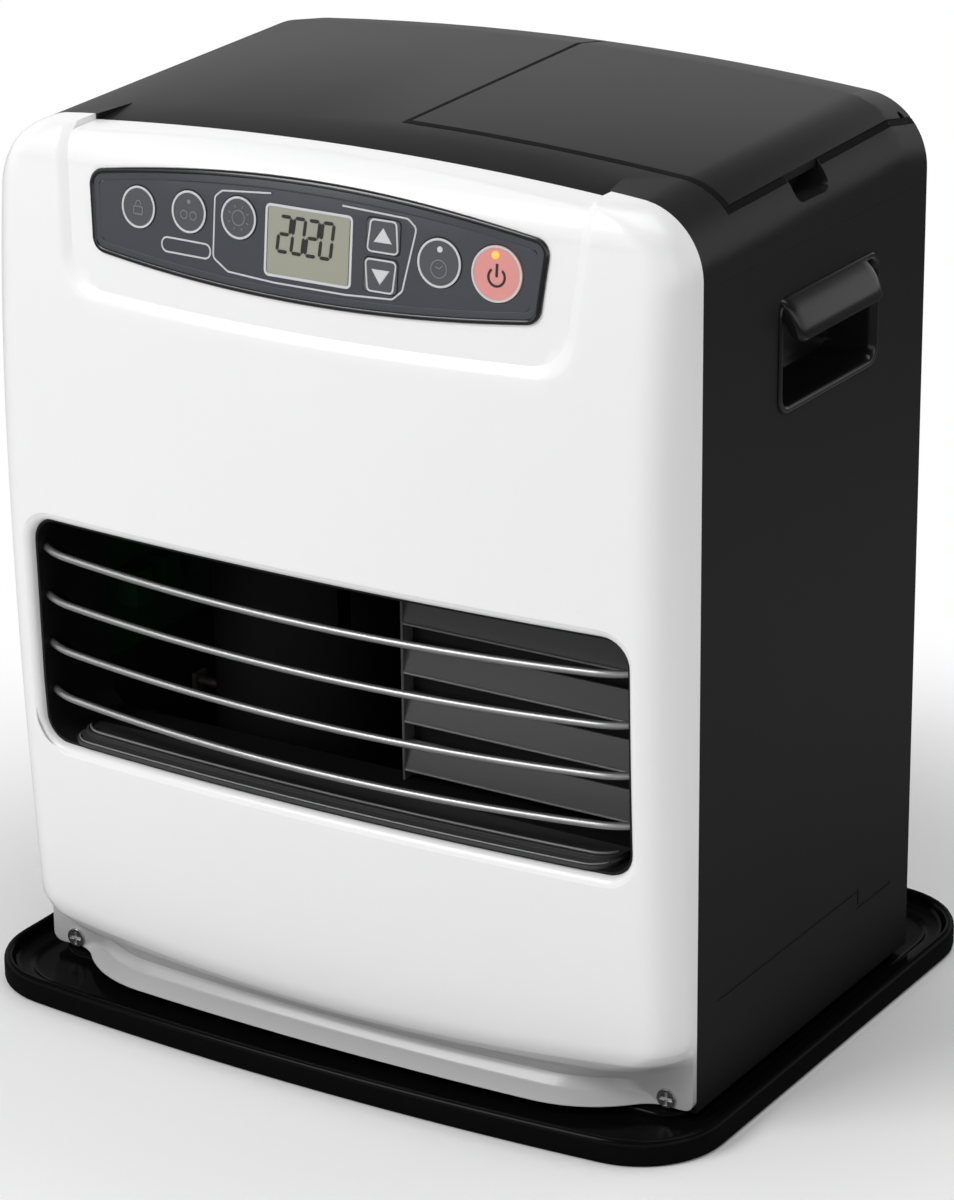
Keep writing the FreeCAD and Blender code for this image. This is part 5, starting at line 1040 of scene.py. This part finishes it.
def lid_seam():
    """Thin dark strips that lie on the cover beside the lid: a painted shadow of the seam."""
    front, rear = LID_FRONT - FRONT_SEAM, REAR_FACE - 0.5
    across = [(LID_LEFT + (LID_EDGE - LID_LEFT) * i / SEAM_PARTS, LID_FRONT) for i in range(SEAM_PARTS + 1)]
    for name, path, width in (
            ("seam_left", [(LID_LEFT, y) for y in (rear, 90, RIDGE_Y, 60, 30, 0, -30, front)], SIDE_SEAM),
            ("seam_front", across, FRONT_SEAM),
            ("seam_right_front", [(LID_EDGE, y) for y in (front, -40, -NOTCH_HALF)], SIDE_SEAM),
            ("seam_right_rear", [(LID_EDGE, y) for y in (NOTCH_HALF, 40, RIDGE_Y, 90, rear)], SIDE_SEAM)):
        ribbon(name, path, (0, -width), (SEAM_LIFT, -SEAM_LIFT), cover_point, SEAM_PAINTED_SHADOW)


# Studio and camera
def studio():
    """A floor that fades to white, a plain sky and three lamps; dim reflections keep the dark sides dark."""
    bm = bmesh.new()
    bmesh.ops.create_grid(bm, x_segments=1, y_segments=1, size=FLOOR_HALF)
    floor = new_object("studio_floor", bm)
    mat = bpy.data.materials.new("Studio floor")
    mat.use_nodes = True
    tree = mat.node_tree
    ray = tree.nodes.new("ShaderNodeLightPath").outputs
    far = tree.nodes.new("ShaderNodeVectorMath")
    far.operation = "LENGTH"
    far = feed(tree, far, {0: tree.nodes.new("ShaderNodeTexCoord").outputs["Object"]}).outputs["Value"]
    base = mix_colors(tree, ray["Is Glossy Ray"], (0.87, 0.87, 0.87, 1), (0.25, 0.25, 0.25, 1))
    shader = feed(tree, tree.nodes["Principled BSDF"], {"Base Color": base, "Roughness": 0.8,
                                                        "Specular IOR Level": 0.1})
    dim = remap(tree, far, FLOOR_DIM, FLOOR_GLOW)
    glow = remap(tree, ray["Is Glossy Ray"], (0, 1), (1, dim), "LINEAR")
    white = feed(tree, tree.nodes.new("ShaderNodeEmission"), {"Strength": glow})
    seen = compute(tree, "MAXIMUM", ray["Is Camera Ray"], ray["Is Glossy Ray"])
    seen = compute(tree, "MAXIMUM", seen, ray["Is Transmission Ray"])
    share = compute(tree, "MULTIPLY", seen, remap(tree, far, FLOOR_FADE, (0, 1)))
    blend = mix_shaders(tree, share, shader.outputs["BSDF"], white.outputs["Emission"])
    feed(tree, tree.nodes["Material Output"], {"Surface": blend})
    floor.data.materials.append(mat)

    world = bpy.data.worlds.new("Studio")
    bpy.context.scene.world = world
    world.use_nodes = True
    tree = world.node_tree
    ray = tree.nodes.new("ShaderNodeLightPath").outputs
    place = tree.nodes.new("ShaderNodeTexCoord").outputs["Generated"]
    height = feed(tree, tree.nodes.new("ShaderNodeSeparateXYZ"), {"Vector": place}).outputs["Z"]
    plain = tree.nodes["Background"]
    ceiling = tree.nodes.new("ShaderNodeBackground")
    seen = tree.nodes.new("ShaderNodeBackground")
    for node, strength in ((plain, 0.5), (ceiling, remap(tree, height, SKY_DIM, SKY_GLOW)), (seen, 1.0)):
        feed(tree, node, {"Color": WHITE, "Strength": strength})
    gloss = mix_shaders(tree, ray["Is Glossy Ray"], plain.outputs["Background"], ceiling.outputs["Background"])
    sky = mix_shaders(tree, ray["Is Camera Ray"], gloss, seen.outputs["Background"])
    feed(tree, tree.nodes["World Output"], {"Surface": sky})
    for name, (spot, target, watts, size) in LAMPS.items():
        data = bpy.data.lights.new(name, "AREA")
        data.energy = watts
        data.size = size
        aim(place_object(name, data), spot, (Vector(target) - Vector(spot)).to_track_quat("-Z", "Y"))


def aim(obj, spot, turn):
    obj.location = spot
    obj.rotation_mode = "QUATERNION"
    obj.rotation_quaternion = turn


def camera():
    """Viewpoint fitted to the photo."""
    data = bpy.data.cameras.new("photo_camera")
    data.sensor_width = CAMERA_SENSOR
    data.lens = CAMERA_LENS
    data.clip_start = 0.05
    data.clip_end = 50
    obj = place_object("photo_camera", data)
    yaw, pitch, roll = (math.radians(angle) for angle in (CAMERA_YAW, CAMERA_PITCH, CAMERA_ROLL))
    turn = Matrix.Rotation(yaw, 3, "Z") @ Matrix.Rotation(math.pi / 2 - pitch, 3, "X") @ Matrix.Rotation(roll, 3, "Z")
    aim(obj, CAMERA_PLACE, turn.to_quaternion())
    bpy.context.scene.camera = obj
    bpy.context.scene.view_settings.view_transform = "Standard"


dress_nodes()
make_front()
make_tray()
make_handle(1, "handle_right")
make_handle(-1, "handle_left")
make_bezel()
control_marks()
outlet_trim()
lid_seam()
studio()
camera()
